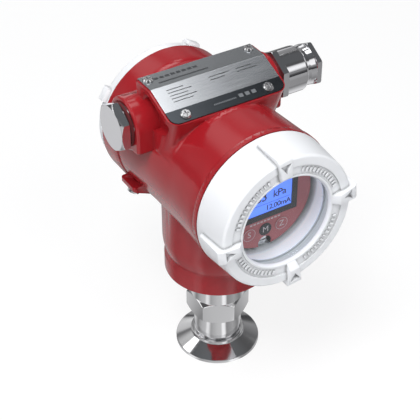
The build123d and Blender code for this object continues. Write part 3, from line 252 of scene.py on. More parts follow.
def finish(name, colour, roughness, metallic=0.0, scale=400.0, stretch=(1, 1, 1), variation=0.04,
           spread=0.1, bump=0.02, coat=0.0, edge=0.0, painted_crease_shade=0.0):
    """A finish that varies a little: edge is how far edges are eased, painted_crease_shade how dark the
    painted shade in its creases is.
    """
    material = bpy.data.materials.new(name)
    material.use_nodes = True
    tree = material.node_tree
    shader = tree.nodes["Principled BSDF"]
    shader.inputs["Metallic"].default_value = metallic
    shader.inputs["Coat Weight"].default_value = coat
    shader.inputs["Coat Roughness"].default_value = 0.05
    surface = tree.nodes.new("ShaderNodeGroup")
    surface.name = "surface"
    surface.node_tree = made_surface
    surface.inputs["Colour"].default_value = (*colour, 1)
    surface.inputs["Variation"].default_value = variation
    surface.inputs["Scale"].default_value = scale
    surface.inputs["Stretch"].default_value = stretch
    surface.inputs["Roughness"].default_value = roughness
    surface.inputs["Spread"].default_value = spread
    relief = tree.nodes.new("ShaderNodeBump")
    relief.name = "relief"
    relief.inputs["Strength"].default_value = bump
    relief.inputs["Distance"].default_value = 0.0002
    tree.links.new(surface.outputs["Colour"], shader.inputs["Base Color"])
    tree.links.new(surface.outputs["Roughness"], shader.inputs["Roughness"])
    tree.links.new(surface.outputs["Height"], relief.inputs["Height"])
    tree.links.new(relief.outputs["Normal"], shader.inputs["Normal"])
    if edge:
        eased = tree.nodes.new("ShaderNodeBevel")
        eased.samples = 6
        eased.inputs["Radius"].default_value = edge
        tree.links.new(eased.outputs["Normal"], relief.inputs["Normal"])
    # Ambient occlusion darkens the colour where surfaces crowd together: painted shade in creases and
    # round raised marks.
    if painted_crease_shade:
        crease_occlusion = tree.nodes.new("ShaderNodeAmbientOcclusion")
        crease_occlusion.samples = 6
        crease_occlusion.inputs["Distance"].default_value = 0.0022
        darker = tree.nodes.new("ShaderNodeMapRange")
        darker.inputs["From Min"].default_value = 0.35
        darker.inputs["From Max"].default_value = 0.95
        darker.inputs["To Min"].default_value = 1 - painted_crease_shade
        crease_shaded_colour = tree.nodes.new("ShaderNodeMix")
        crease_shaded_colour.data_type = "RGBA"
        crease_shaded_colour.blend_type = "MULTIPLY"
        crease_shaded_colour.inputs["Factor"].default_value = 1
        tree.links.new(crease_occlusion.outputs["AO"], darker.inputs["Value"])
        tree.links.new(surface.outputs["Colour"], crease_shaded_colour.inputs["A"])
        tree.links.new(darker.outputs["Result"], crease_shaded_colour.inputs["B"])
        tree.links.new(crease_shaded_colour.outputs["Result"], shader.inputs["Base Color"])
    return material


def eased_outline(corners, ease):
    """The outline's corners in millimetres, each a small round with a held flat on both its sides."""
    held = 0.12
    outline = []
    for i, corner in enumerate(corners):
        here = Vector(corner)
        to_last = Vector(corners[i - 1]) - here
        to_next = Vector(corners[(i + 1) % len(corners)]) - here
        reach = min(ease, 0.45 * to_last.length, 0.45 * to_next.length)
        if here.x < 1e-6 or reach < 0.02:
            outline.append(here)
            continue
        start = here + to_last.normalized() * reach
        end = here + to_next.normalized() * reach
        middle = start.lerp(here, 0.5).lerp(here.lerp(end, 0.5), 0.5)
        flat_end = here + to_last.normalized() * min(reach + held, 0.49 * to_last.length)
        flat_start = here + to_next.normalized() * min(reach + held, 0.49 * to_next.length)
        outline += [flat_end, start, middle, end, flat_start]
    return outline


def new_piece(name, made):
    """An object at the origin with the mesh that was just made."""
    mesh = bpy.data.meshes.new(name)
    made.to_mesh(mesh)
    made.free()
    piece = bpy.data.objects.new(name, mesh)
    scene.collection.objects.link(piece)
    return piece


def turned_piece(name, corners, centre, axis, first, ease=0.25, flats=None, turns=192):
    """A closed outline of (radius, distance) turned about an axis. flats cuts it to a hexagon."""
    along = Vector(axis)
    zero = Vector(first)
    side = along.cross(zero)
    outline = eased_outline(corners, ease)
    made = bmesh.new()
    rings = []
    for i in range(turns):
        angle = 2 * math.pi * i / turns
        outwards = zero * math.cos(angle) + side * math.sin(angle)
        limit = math.inf
        if flats:
            limit = flats / 2 / math.cos(angle % (math.pi / 3) - math.pi / 6)
        rings.append([
            made.verts.new((Vector(centre) + outwards * min(p.x, limit) + along * p.y) / 1000)
            for p in outline
        ])
    for i, ring in enumerate(rings):
        following = rings[(i + 1) % turns]
        for j in range(len(outline)):
            k = (j + 1) % len(outline)
            if outline[j].x > 1e-6 or outline[k].x > 1e-6:
                made.faces.new((ring[j], ring[k], following[k], following[j]))
    bmesh.ops.remove_doubles(made, verts=made.verts, dist=1e-7)
    bmesh.ops.recalc_face_normals(made, faces=made.faces)
    piece = new_piece(name, made)
    piece.data.shade_smooth()
    piece.data.set_sharp_from_angle(angle=math.radians(28))
    return piece


def fitted(piece, body, material_slot, material, *replaced):
    """Gives a finished piece its material and its place on the object."""
    piece.data.materials.clear()
    piece.data.materials.append(material)
    if replaced:
        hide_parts(*replaced)
    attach(piece, body)


bright_steel = finish(
    "bright_steel", (0.80, 0.80, 0.81), 0.09, metallic=1.0, scale=900, stretch=(0.15, 0.15, 6),
    variation=0.03, spread=0.06, bump=0.012,
)
upright = (0, 0, 1)
corner_out = (0, 1, 0)
ferrule = turned_piece(
    "ferrule_turned",
    [
        (1.2, 1.45), (16, 1.45), (16, 0.85), (17, 0.85), (17, 0), (20.4, 0), (20.6, 0.72), (21.2, 1.26),
        (21.8, 1.4), (22.4, 1.26), (23, 0.72), (23.2, 0), (25.25, 0), (25.25, 2.0), (16, 6.8), (16, 8.5),
        (13.4, 8.5), (13.4, 9.2), (1.2, 9.2),
    ],
    (0, 0, 0), upright, corner_out,
)
fitted(ferrule, "sensor", "stainless", bright_steel, "ferrule")

# Process diaphragm: a thin stainless foil, pressed into rings of waves that let it give, and
# welded flush into the ferrule's lower face.
foil_thickness = 0.25
foil_height = 0.6
wave_depth = 0.35
foil_waves = [(0, foil_height), (0.8, foil_height)]
for i in range(1, 65):
    dip = wave_depth / 2 * (1 - math.cos(math.pi * i / 8))
    foil_waves.append((0.8 + 15.2 * i / 64, foil_height - dip))
foil_waves.append((17, foil_height))
diaphragm = turned_piece(
    "diaphragm_pressed", foil_waves + [(r, h + foil_thickness) for r, h in reversed(foil_waves)],
    (0, 0, 0), upright, corner_out, ease=0.0,
)
fitted(diaphragm, "sensor", "stainless", bright_steel, "process_diaphragm")

# Sensor body: seal barrel, spanner hexagon and collar turned from one stainless hexagon bar.
# It is welded to the ferrule below, and its tail stands in the housing's neck on a seal ring.
hexagon_low = 24.5
hexagon_high = 38.5
chamfer = [(16.2 + 2.6 * i / 8, hexagon_low + 2.2 * i / 8) for i in range(9)]
sensor_outline = (
    [(1.2, 9.2), (13.7, 9.2), (14.2, 9.7), (14.2, 24.5)]
    + chamfer
    + [(r, hexagon_low + hexagon_high - h) for r, h in reversed(chamfer)]
    + [(16.2, 38.6), (16.2, 64.35), (14.55, 64.35), (14.55, 66.05), (16.2, 66.05), (16.2, 78.9)]
    + [(14.6, 78.9), (14.6, 83.5), (16.2, 83.5), (16.2, 89.2), (15.7, 89.7), (12, 89.7), (12, 35.5)]
    + [(8, 35.5), (8, 24.6), (1.2, 24.5)]
)
sensor = turned_piece(
    "sensor_turned", sensor_outline, (0, 0, 0), upright, corner_out, ease=0.15, flats=32.4,
)
fitted(sensor, "sensor", "stainless", bright_steel, "sensor_body")

# Housing: a thick aluminium casting of barrel, drum, neck, crossbar, hood and earth pad in one,
# machined at its mouths and powder coated in a glossy red.
red_paint = finish(
    "red_paint", (0.36, 0.013, 0.019), 0.20, scale=1100, variation=0.05, spread=0.06, bump=0.02,
    coat=0.25, edge=0.0002,
)


def made_plain(piece):
    """Keeps what the piece's modifiers make of it as its own mesh, and clears them."""
    bpy.context.view_layer.update()
    result = bpy.data.meshes.new_from_object(piece.evaluated_get(bpy.context.evaluated_depsgraph_get()))
    piece.modifiers.clear()
    piece.data = result


def cast_copy(name, part):
    """The frame's own shape, joined and shaded smooth, with normals that follow its larger faces."""
    made = bmesh.new()
    made.from_mesh(node[part].data)
    bmesh.ops.remove_doubles(made, verts=made.verts, dist=1e-6)
    piece = new_piece(name, made)
    piece.data.shade_smooth()
    piece.data.set_sharp_from_angle(angle=math.radians(26))
    held = piece.modifiers.new("held_normals", "WEIGHTED_NORMAL")
    held.keep_sharp = True
    made_plain(piece)
    return piece


housing = cast_copy("housing_casting", "housing")
fitted(housing, "enclosure", "red_paint", red_paint, "housing")

# Front cover: a turned and milled aluminium ring in white powder coat. Its four lugs, which a
# bar turns it by, run over the face and stand past the side, each with a small pit in its top.
# Inside the bore the paint glows faintly: painted light that stands in for the daylight its thick glass
# lets in.
# The white paint carries painted shade in its creases and round the raised dashes.
white_paint = finish(
    "white_paint", (0.91, 0.92, 0.94), 0.36, scale=1200, variation=0.015, spread=0.08, bump=0.03,
    coat=0.25, edge=0.00012, painted_crease_shade=0.65,
)
barrel_centre = (0, 0, 132.4)
# Emission on the white paint inside the cover's bore, between the glass and the display: painted light.
bore_tree = white_paint.node_tree
bore_place = bore_tree.nodes.new("ShaderNodeTexCoord")
bore_axes = bore_tree.nodes.new("ShaderNodeSeparateXYZ")
bore_flat = bore_tree.nodes.new("ShaderNodeVectorMath")
bore_flat.operation = "MULTIPLY"
bore_flat.inputs[1].default_value = (1, 0, 1)
bore_radius = bore_tree.nodes.new("ShaderNodeVectorMath")
bore_radius.operation = "DISTANCE"
bore_radius.inputs[1].default_value = [v / 1000 for v in barrel_centre]
bore_within = bore_tree.nodes.new("ShaderNodeMapRange")
bore_within.inputs["From Min"].default_value = 0.0315
bore_within.inputs["From Max"].default_value = 0.0312
bore_behind = bore_tree.nodes.new("ShaderNodeMapRange")
bore_behind.inputs["From Min"].default_value = -0.0646
bore_behind.inputs["From Max"].default_value = -0.0620
bore_behind.inputs["To Max"].default_value = 0.30
bore_before = bore_tree.nodes.new("ShaderNodeMapRange")
bore_before.inputs["From Min"].default_value = -0.0468
bore_before.inputs["From Max"].default_value = -0.0490
bore_stretch = bore_tree.nodes.new("ShaderNodeMath")
bore_stretch.operation = "MULTIPLY"
bore_painted_light = bore_tree.nodes.new("ShaderNodeMath")
bore_painted_light.operation = "MULTIPLY"
bore_shader = bore_tree.nodes["Principled BSDF"]
bore_shader.inputs["Emission Color"].default_value = (0.92, 0.94, 1.0, 1)
for source, end in (
    (bore_place.outputs["Object"], bore_axes.inputs[0]),
    (bore_place.outputs["Object"], bore_flat.inputs[0]),
    (bore_flat.outputs["Vector"], bore_radius.inputs[0]),
    (bore_radius.outputs["Value"], bore_within.inputs["Value"]),
    (bore_axes.outputs["Y"], bore_behind.inputs["Value"]),
    (bore_axes.outputs["Y"], bore_before.inputs["Value"]),
    (bore_behind.outputs["Result"], bore_stretch.inputs[0]),
    (bore_before.outputs["Result"], bore_stretch.inputs[1]),
    (bore_within.outputs["Result"], bore_painted_light.inputs[0]),
    (bore_stretch.outputs[0], bore_painted_light.inputs[1]),
    (bore_painted_light.outputs[0], bore_shader.inputs["Emission Strength"]),
):
    bore_tree.links.new(source, end)
to_front = (0, -1, 0)
to_rear = (0, 1, 0)


def lug_piece(name, seat, skirt):
    """One lug as a rib that widens outwards from the face at seat, with a sunk triangle in its top."""
    ridge_in = (31.2, seat + 4.4)
    ridge_out = (41.2, seat + 3.7)
    outline = [(27.3, seat), (27.3, seat + 0.8), ridge_in, ridge_out, (43, seat + 2.1), *skirt]
    pit_out = 37.3
    pit_height = seat + 4.0
    narrow = 5.4
    wide = 8.4
    inner = min(x for x, y in outline)
    outer = max(x for x, y in outline)
    made = bmesh.new()
    sides = []
    for side in (-0.5, 0.5):
        across = [side * (narrow + (wide - narrow) * (x - inner) / (outer - inner)) for x, y in outline]
        sides.append([
            made.verts.new((x / 1000, -y / 1000, z / 1000)) for (x, y), z in zip(outline, across)
        ])
    made.faces.new(sides[0])
    made.faces.new(sides[1])
    for j in range(len(outline)):
        k = (j + 1) % len(outline)
        made.faces.new((sides[0][j], sides[0][k], sides[1][k], sides[1][j]))
    bmesh.ops.recalc_face_normals(made, faces=made.faces)
    bmesh.ops.bevel(
        made, geom=[e for e in made.edges if e.calc_face_angle(0) > 0.3], offset=0.00018, segments=2,
        affect="EDGES", profile=0.5,
    )
    lug = new_piece(name, made)
    made = bmesh.new()
    bmesh.ops.create_cone(made, cap_ends=True, segments=3, radius1=0.0026, radius2=0.0046, depth=0.0036)
    tool = new_piece(name + "_tool", made)
    slope = math.atan2(ridge_in[1] - ridge_out[1], ridge_out[0] - ridge_in[0])
    outwards = Vector((math.sin(slope), -math.cos(slope), 0))
    down_slope = Vector((math.cos(slope), math.sin(slope), 0))
    pit_turn = Matrix((outwards.cross(down_slope), -down_slope, outwards)).transposed().to_4x4()
    tool.matrix_world = Matrix.Translation((pit_out / 1000, -pit_height / 1000, 0)) @ pit_turn
    sink = lug.modifiers.new("pit", "BOOLEAN")
    sink.operation = "DIFFERENCE"
    sink.solver = "EXACT"
    sink.object = tool
    made_plain(lug)
    bpy.data.objects.remove(tool)
    return lug


lugs_tree = bpy.data.node_groups.new("lugs_round_cover", "GeometryNodeTree")
lugs_tree.interface.new_socket("Cover", in_out="INPUT", socket_type="NodeSocketGeometry")
lug_inputs = {}
for socket, kind in (
    ("Lug", "NodeSocketObject"), ("Count", "NodeSocketInt"), ("First Turn", "NodeSocketFloat"),
    ("Axis", "NodeSocketVector"), ("Centre", "NodeSocketVector"), ("Finish", "NodeSocketMaterial"),
):
    given = lugs_tree.interface.new_socket(socket, in_out="INPUT", socket_type=kind)
    lug_inputs[socket] = given.identifier
lugs_tree.interface.new_socket("Dressed Cover", in_out="OUTPUT", socket_type="NodeSocketGeometry")
lug_given = lugs_tree.nodes.new("NodeGroupInput")
lug_done = lugs_tree.nodes.new("NodeGroupOutput")
lug_source = lugs_tree.nodes.new("GeometryNodeObjectInfo")
lug_points = lugs_tree.nodes.new("GeometryNodePoints")
lug_index = lugs_tree.nodes.new("GeometryNodeInputIndex")
lug_step = lugs_tree.nodes.new("ShaderNodeMath")
lug_step.operation = "DIVIDE"
lug_step.inputs[0].default_value = 2 * math.pi
lug_angle = lugs_tree.nodes.new("ShaderNodeMath")
lug_angle.operation = "MULTIPLY_ADD"
lug_spin = lugs_tree.nodes.new("FunctionNodeAxisAngleToRotation")
lug_copies = lugs_tree.nodes.new("GeometryNodeInstanceOnPoints")
lug_real = lugs_tree.nodes.new("GeometryNodeRealizeInstances")
lug_all = lugs_tree.nodes.new("GeometryNodeJoinGeometry")
lug_paint = lugs_tree.nodes.new("GeometryNodeSetMaterial")
for source, end in (
    (lug_given.outputs["Lug"], lug_source.inputs["Object"]),
    (lug_given.outputs["Count"], lug_points.inputs["Count"]),
    (lug_given.outputs["Centre"], lug_points.inputs["Position"]),
    (lug_given.outputs["Count"], lug_step.inputs[1]),
    (lug_index.outputs[0], lug_angle.inputs[0]),
    (lug_step.outputs[0], lug_angle.inputs[1]),
    (lug_given.outputs["First Turn"], lug_angle.inputs[2]),
    (lug_given.outputs["Axis"], lug_spin.inputs["Axis"]),
    (lug_angle.outputs[0], lug_spin.inputs["Angle"]),
    (lug_points.outputs[0], lug_copies.inputs["Points"]),
    (lug_source.outputs["Geometry"], lug_copies.inputs["Instance"]),
    (lug_spin.outputs[0], lug_copies.inputs["Rotation"]),
    (lug_given.outputs["Cover"], lug_all.inputs[0]),
    (lug_copies.outputs[0], lug_all.inputs[0]),
    (lug_all.outputs[0], lug_real.inputs[0]),
    (lug_real.outputs[0], lug_paint.inputs["Geometry"]),
    (lug_given.outputs["Finish"], lug_paint.inputs["Material"]),
    (lug_paint.outputs[0], lug_done.inputs[0]),
):
    lugs_tree.links.new(source, end)


def with_lugs(cover, lug, first_turn, axis, material):
    """Sets four lugs round a cover with the node group and keeps the result as a plain mesh."""
    setter = cover.modifiers.new("lugs", "NODES")
    setter.node_group = lugs_tree
    setter[lug_inputs["Lug"]] = lug
    setter[lug_inputs["Count"]] = 4
    setter[lug_inputs["First Turn"]] = first_turn
    setter[lug_inputs["Axis"]] = axis
    setter[lug_inputs["Centre"]] = tuple(v / 1000 for v in barrel_centre)
    setter[lug_inputs["Finish"]] = material
    made_plain(cover)
    cover.data.shade_smooth()
    cover.data.set_sharp_from_angle(angle=math.radians(28))
    bpy.data.objects.remove(lug)


front_cover = turned_piece(
    "front_cover_turned",
    [
        (31.02, 35.1), (35.02, 35.1), (35.02, 45.4), (37, 45.4), (37, 44.9), (41.3, 44.9), (39.6, 66.2),
        (38.6, 67.2), (33.8, 67.2), (33.8, 66.3), (28.6, 66.3), (28.6, 66.9), (27.4, 66.9), (26.4, 64.6),
        (29.05, 64.6), (29.05, 58.1), (31.02, 58.1),
    ],
    barrel_centre, to_front, (1, 0, 0), ease=0.35,
)
front_lug = lug_piece("front_lug", 65.7, [(43, 51.1), (40.3, 49.4), (37.3, 65.3)])
with_lugs(front_cover, front_lug, -math.radians(7), (0, 1, 0), white_paint)
fitted(front_cover, "window_cover", "white_paint", white_paint, "front_cover")

# Raised dashes: short bars of mixed heights, cast on the front cover in groups round its window,
# and powder coated with it.
made = bmesh.new()
bmesh.ops.create_cube(made, size=1)
bmesh.ops.scale(made, vec=(0.0026, 0.0010, 0.0018), verts=made.verts)
bmesh.ops.bevel(made, geom=made.edges, offset=0.0002, segments=1, affect="EDGES")
dash = new_piece("dash", made)
dash_tree = bpy.data.node_groups.new("dashes_round_window", "GeometryNodeTree")
dash_tree.interface.new_socket("Cover", in_out="INPUT", socket_type="NodeSocketGeometry")
dash_inputs = {}
for socket, kind in (
    ("Dash", "NodeSocketObject"), ("Count", "NodeSocketInt"), ("Radius", "NodeSocketFloat"),
    ("Kept Share", "NodeSocketFloat"), ("First Turn", "NodeSocketFloat"), ("Centre", "NodeSocketVector"),
    ("Seed", "NodeSocketInt"), ("Finish", "NodeSocketMaterial"),
):
    given = dash_tree.interface.new_socket(socket, in_out="INPUT", socket_type=kind)
    dash_inputs[socket] = given.identifier
dash_tree.interface.new_socket("Dashes", in_out="OUTPUT", socket_type="NodeSocketGeometry")
dash_given = dash_tree.nodes.new("NodeGroupInput")
dash_done = dash_tree.nodes.new("NodeGroupOutput")
dash_ring = dash_tree.nodes.new("GeometryNodeMeshCircle")
dash_upright = dash_tree.nodes.new("GeometryNodeTransform")
dash_upright.inputs["Rotation"].default_value = (math.pi / 2, 0, 0)
dash_index = dash_tree.nodes.new("GeometryNodeInputIndex")
dash_quarter = dash_tree.nodes.new("ShaderNodeMath")
dash_quarter.operation = "DIVIDE"
dash_part = dash_tree.nodes.new("ShaderNodeMath")
dash_part.operation = "MULTIPLY_ADD"
dash_part.inputs[1].default_value = 4
dash_share = dash_tree.nodes.new("ShaderNodeMath")
dash_share.operation = "FRACT"
dash_gap = dash_tree.nodes.new("ShaderNodeMath")
dash_gap.operation = "GREATER_THAN"
dash_copies = dash_tree.nodes.new("GeometryNodeInstanceOnPoints")
dash_source = dash_tree.nodes.new("GeometryNodeObjectInfo")
dash_place = dash_tree.nodes.new("GeometryNodeInputPosition")
dash_spin = dash_tree.nodes.new("FunctionNodeAlignRotationToVector")
dash_spin.axis = "X"
dash_spin.pivot_axis = "Y"
dash_size = dash_tree.nodes.new("FunctionNodeRandomValue")
dash_size.data_type = "FLOAT"
dash_size.inputs[2].default_value = 0.45
dash_size.inputs[3].default_value = 1.0
dash_vary = dash_tree.nodes.new("ShaderNodeCombineXYZ")
dash_vary.inputs[0].default_value = 1
dash_vary.inputs[1].default_value = 1
dash_real = dash_tree.nodes.new("GeometryNodeRealizeInstances")
dash_moved = dash_tree.nodes.new("GeometryNodeTransform")
dash_paint = dash_tree.nodes.new("GeometryNodeSetMaterial")
dash_drop = dash_tree.nodes.new("GeometryNodeDeleteGeometry")
for source, end in (
    (dash_given.outputs["Count"], dash_ring.inputs["Vertices"]),
    (dash_given.outputs["Radius"], dash_ring.inputs["Radius"]),
    (dash_ring.outputs[0], dash_upright.inputs["Geometry"]),
    (dash_index.outputs[0], dash_quarter.inputs[0]),
    (dash_given.outputs["Count"], dash_quarter.inputs[1]),
    (dash_quarter.outputs[0], dash_part.inputs[0]),
    (dash_given.outputs["First Turn"], dash_part.inputs[2]),
    (dash_part.outputs[0], dash_share.inputs[0]),
    (dash_share.outputs[0], dash_gap.inputs[0]),
    (dash_given.outputs["Kept Share"], dash_gap.inputs[1]),
    (dash_upright.outputs[0], dash_drop.inputs["Geometry"]),
    (dash_gap.outputs[0], dash_drop.inputs["Selection"]),
    (dash_drop.outputs[0], dash_copies.inputs["Points"]),
    (dash_given.outputs["Dash"], dash_source.inputs["Object"]),
    (dash_source.outputs["Geometry"], dash_copies.inputs["Instance"]),
    (dash_place.outputs[0], dash_spin.inputs["Vector"]),
    (dash_spin.outputs[0], dash_copies.inputs["Rotation"]),
    (dash_given.outputs["Seed"], dash_size.inputs["Seed"]),
    (dash_size.outputs[1], dash_vary.inputs[2]),
    (dash_vary.outputs[0], dash_copies.inputs["Scale"]),
    (dash_copies.outputs[0], dash_real.inputs[0]),
    (dash_real.outputs[0], dash_moved.inputs["Geometry"]),
    (dash_given.outputs["Centre"], dash_moved.inputs["Translation"]),
    (dash_moved.outputs[0], dash_paint.inputs["Geometry"]),
    (dash_given.outputs["Finish"], dash_paint.inputs["Material"]),
    (dash_paint.outputs[0], dash_done.inputs[0]),
):
    dash_tree.links.new(source, end)
dashes = new_piece("cover_dashes", bmesh.new())
setter = dashes.modifiers.new("dashes", "NODES")
setter.node_group = dash_tree
setter[dash_inputs["Dash"]] = dash
setter[dash_inputs["Count"]] = 76
setter[dash_inputs["Radius"]] = 0.0312
setter[dash_inputs["Kept Share"]] = 0.66
setter[dash_inputs["First Turn"]] = 0.78
setter[dash_inputs["Centre"]] = (0, -0.0665, barrel_centre[2] / 1000)
setter[dash_inputs["Seed"]] = 4
setter[dash_inputs["Finish"]] = white_paint
made_plain(dashes)
bpy.data.objects.remove(dash)
fitted(dashes, "window_cover", "white_paint", white_paint)

# Rear cover: the blind cover of the wiring chamber, turned in aluminium, screwed into the
# housing's rear mouth, and coated and lugged like the front one.
rear_cover = turned_piece(
    "rear_cover_turned",
    [
        (0, 59.7), (31.02, 59.7), (31.02, 47.5), (35.02, 47.5), (35.02, 56.8), (37, 56.8), (37, 56.3),
        (41.3, 56.3), (40.79, 62.7), (39.79, 63.7), (34.99, 63.7), (34.99, 62.8), (0, 62.8),
    ],
    barrel_centre, to_rear, (-1, 0, 0), ease=0.35,
)
rear_lug = lug_piece("rear_lug", 62.2, [(43, 60.0), (40.3, 58.3), (37.3, 62.2)])
rear_lug.data.transform(Matrix.Rotation(math.pi, 4, "Z"))
with_lugs(rear_cover, rear_lug, math.radians(30), (0, 1, 0), white_paint)
fitted(rear_cover, "back_cover", "white_paint", white_paint, "rear_cover")

# Window: a thick disc of toughened glass, held in the front cover from behind by a screwed
# ring on a thin gasket.
window_glass = bpy.data.materials.new("window_glass")
window_glass.use_nodes = True
glass_tree = window_glass.node_tree
glass_shader = glass_tree.nodes["Principled BSDF"]
glass_shader.inputs["Base Color"].default_value = (0.93, 0.97, 0.98, 1)
glass_shader.inputs["Transmission Weight"].default_value = 1
glass_shader.inputs["IOR"].default_value = 1.08
glass_shader.inputs["Coat Weight"].default_value = 1
glass_shader.inputs["Coat Roughness"].default_value = 0.02
glass_smear = glass_tree.nodes.new("ShaderNodeTexNoise")
glass_smear.inputs["Scale"].default_value = 60
glass_rough = glass_tree.nodes.new("ShaderNodeMapRange")
glass_rough.inputs["To Min"].default_value = 0.0
glass_rough.inputs["To Max"].default_value = 0.03
glass_place = glass_tree.nodes.new("ShaderNodeTexCoord")
glass_path = glass_tree.nodes.new("ShaderNodeLightPath")
glass_either = glass_tree.nodes.new("ShaderNodeMath")
glass_either.operation = "MAXIMUM"
glass_clear = glass_tree.nodes.new("ShaderNodeBsdfTransparent")
glass_clear.inputs["Color"].default_value = (0.94, 0.96, 0.97, 1)
glass_mix = glass_tree.nodes.new("ShaderNodeMixShader")
for source, end in (
    (glass_place.outputs["Object"], glass_smear.inputs["Vector"]),
    (glass_smear.outputs["Fac"], glass_rough.inputs["Value"]),
    (glass_rough.outputs["Result"], glass_shader.inputs["Roughness"]),
    (glass_path.outputs["Is Shadow Ray"], glass_either.inputs[0]),
    (glass_path.outputs["Is Diffuse Ray"], glass_either.inputs[1]),
    (glass_either.outputs[0], glass_mix.inputs["Fac"]),
    (glass_shader.outputs[0], glass_mix.inputs[1]),
    (glass_clear.outputs[0], glass_mix.inputs[2]),
    (glass_mix.outputs[0], glass_tree.nodes["Material Output"].inputs["Surface"]),
):
    glass_tree.links.new(source, end)
pane = turned_piece(
    "window_pane", [(0, 58.6), (29, 58.6), (29, 64.6), (0, 64.6)], barrel_centre, to_front, (1, 0, 0),
    ease=0.4, turns=128,
)
fitted(pane, "window_cover", "window_glass", window_glass, "cover_glass")

# Nameplate: a folded stainless sheet. Its upper strip is coloured a quarter darker than its slope, its
# slope is finely brushed and its lower band is filled dark. Its print is rows of plain bars.
plate_steel = finish(
    "plate_steel", (0.62, 0.64, 0.67), 0.20, metallic=1.0, scale=2600, stretch=(0.02, 1, 1),
    variation=0.06, spread=0.16, bump=0.02, edge=0.0003,
)
plate_tree = plate_steel.node_tree
plate_place = plate_tree.nodes.new("ShaderNodeTexCoord")
plate_axes = plate_tree.nodes.new("ShaderNodeSeparateXYZ")
plate_zones = plate_tree.nodes.new("ShaderNodeValToRGB")
plate_run = plate_tree.nodes.new("ShaderNodeMapRange")
plate_run.inputs["From Min"].default_value = -0.013
plate_run.inputs["From Max"].default_value = 0.024
plate_tone = plate_tree.nodes.new("ShaderNodeMix")
plate_tone.data_type = "RGBA"
plate_tone.blend_type = "MULTIPLY"
plate_tone.inputs["Factor"].default_value = 1
plate_zones.color_ramp.interpolation = "CONSTANT"
plate_zones.color_ramp.elements[0].color = (0.13, 0.14, 0.15, 1)
plate_zones.color_ramp.elements[1].position = 0.216
plate_zones.color_ramp.elements[1].color = (1, 1, 1, 1)
# The upper strip's colour is three quarters of the slope's.
plate_zones.color_ramp.elements.new(0.625).color = (0.75, 0.76, 0.76, 1)
plate_shader = plate_tree.nodes["Principled BSDF"]
for source, end in (
    (plate_place.outputs["Object"], plate_axes.inputs[0]),
    (plate_axes.outputs["Y"], plate_run.inputs["Value"]),
    (plate_run.outputs["Result"], plate_zones.inputs["Fac"]),
    (plate_tree.nodes["surface"].outputs["Colour"], plate_tone.inputs["A"]),
    (plate_zones.outputs["Color"], plate_tone.inputs["B"]),
    (plate_tone.outputs["Result"], plate_shader.inputs["Base Color"]),
):
    plate_tree.links.new(source, end)
plate = cast_copy("nameplate_sheet", "nameplate")
fitted(plate, "enclosure", "plate_steel", plate_steel, "nameplate")

plate_ink = finish("plate_ink", (0.035, 0.038, 0.042), 0.45, scale=1500, bump=0.0)
plate_pale = finish("plate_pale", (0.15, 0.16, 0.17), 0.4, scale=1500, bump=0.0)
plate_slope = math.radians(22)
plate_fold = Vector((0, 10.0, 182.35))


def plate_bars(name, bars, material):
    """Thin bars of print on the plate: each is (middle x, run down from the fold, length, width)."""
    made = bmesh.new()
    for x, run, length, width in bars:
        tilt = plate_slope if run > 0 else 0
        down = Vector((0, -math.cos(tilt), -math.sin(tilt)))
        face = Vector((0, -math.sin(tilt), math.cos(tilt)))
        middle = plate_fold + Vector((x, 0, 0)) + down * run + face * 0.02
        corners = [
            middle + Vector((i * length / 2, 0, 0)) + down * (j * width / 2)
            for i, j in ((-1, 1), (1, 1), (1, -1), (-1, -1))
        ]
        made.faces.new([made.verts.new(corner / 1000) for corner in corners])
    fitted(new_piece(name, made), "enclosure", "plate_steel", material)


slope_print = []
for block_x, lengths in ((-21.5, (10, 14, 11, 15, 12)), (4, (13, 9)), (21, (10, 12))):
    for i, length in enumerate(lengths):
        slope_print.append((block_x + length / 2 - 6, 3.2 + 2.0 * i, length, 0.45))
plate_bars("plate_print_slope", slope_print, plate_ink)
plate_bars(
    "plate_print_top",
    [(-27.2 + 3.4 * i, -8.6, 2.5, 2.0) for i in range(8)] + [(-13, -4.0, 30, 1.1)],
    plate_ink,
)
plate_bars(
    "plate_print_band",
    [(-8 + i, 20.4, 0.6, 0.9) for i in range(14)] + [(8.6 + 4.0 * i, 19.9, 2.6, 2.3) for i in range(3)],
    plate_pale,
)

# Nameplate screws: four domed steel screws with a cross recess, bright plated, which hold the
# folded sheet down on the hood. The other steel screws are plated alike.
screw_steel = finish(
    "screw_steel", (0.72, 0.72, 0.73), 0.16, metallic=1.0, scale=1500, variation=0.05, edge=0.0002,
)

# Display: a round printed red overlay on a dark plastic moulding, a backlit panel in a dark
# bezel, three keys, and a notch with the head screw that holds it.
display_red = finish("display_red", (0.46, 0.12, 0.13), 0.45, scale=1500, variation=0.03, bump=0.02)
dark_plastic = finish("dark_plastic", (0.020, 0.021, 0.024), 0.42, scale=1800, variation=0.1, bump=0.05)
lcd_blue = finish("lcd_blue", (0.10, 0.22, 0.85), 0.25, scale=500, variation=0.03, bump=0.0)
lcd_shader = lcd_blue.node_tree.nodes["Principled BSDF"]
lcd_blue.node_tree.links.new(
    lcd_blue.node_tree.nodes["surface"].outputs["Colour"], lcd_shader.inputs["Emission Color"]
)
lcd_shader.inputs["Emission Strength"].default_value = 1.0

lcd_ink = finish("lcd_ink", (0.012, 0.02, 0.10), 0.5, scale=1500, bump=0.0)
key_ink = finish("key_ink", (0.62, 0.55, 0.55), 0.5, scale=1500, bump=0.0)
panel_front = 45.53
face_front = 46.03
key_front = 46.43
key_height = -17.6
key_spread = 10.3


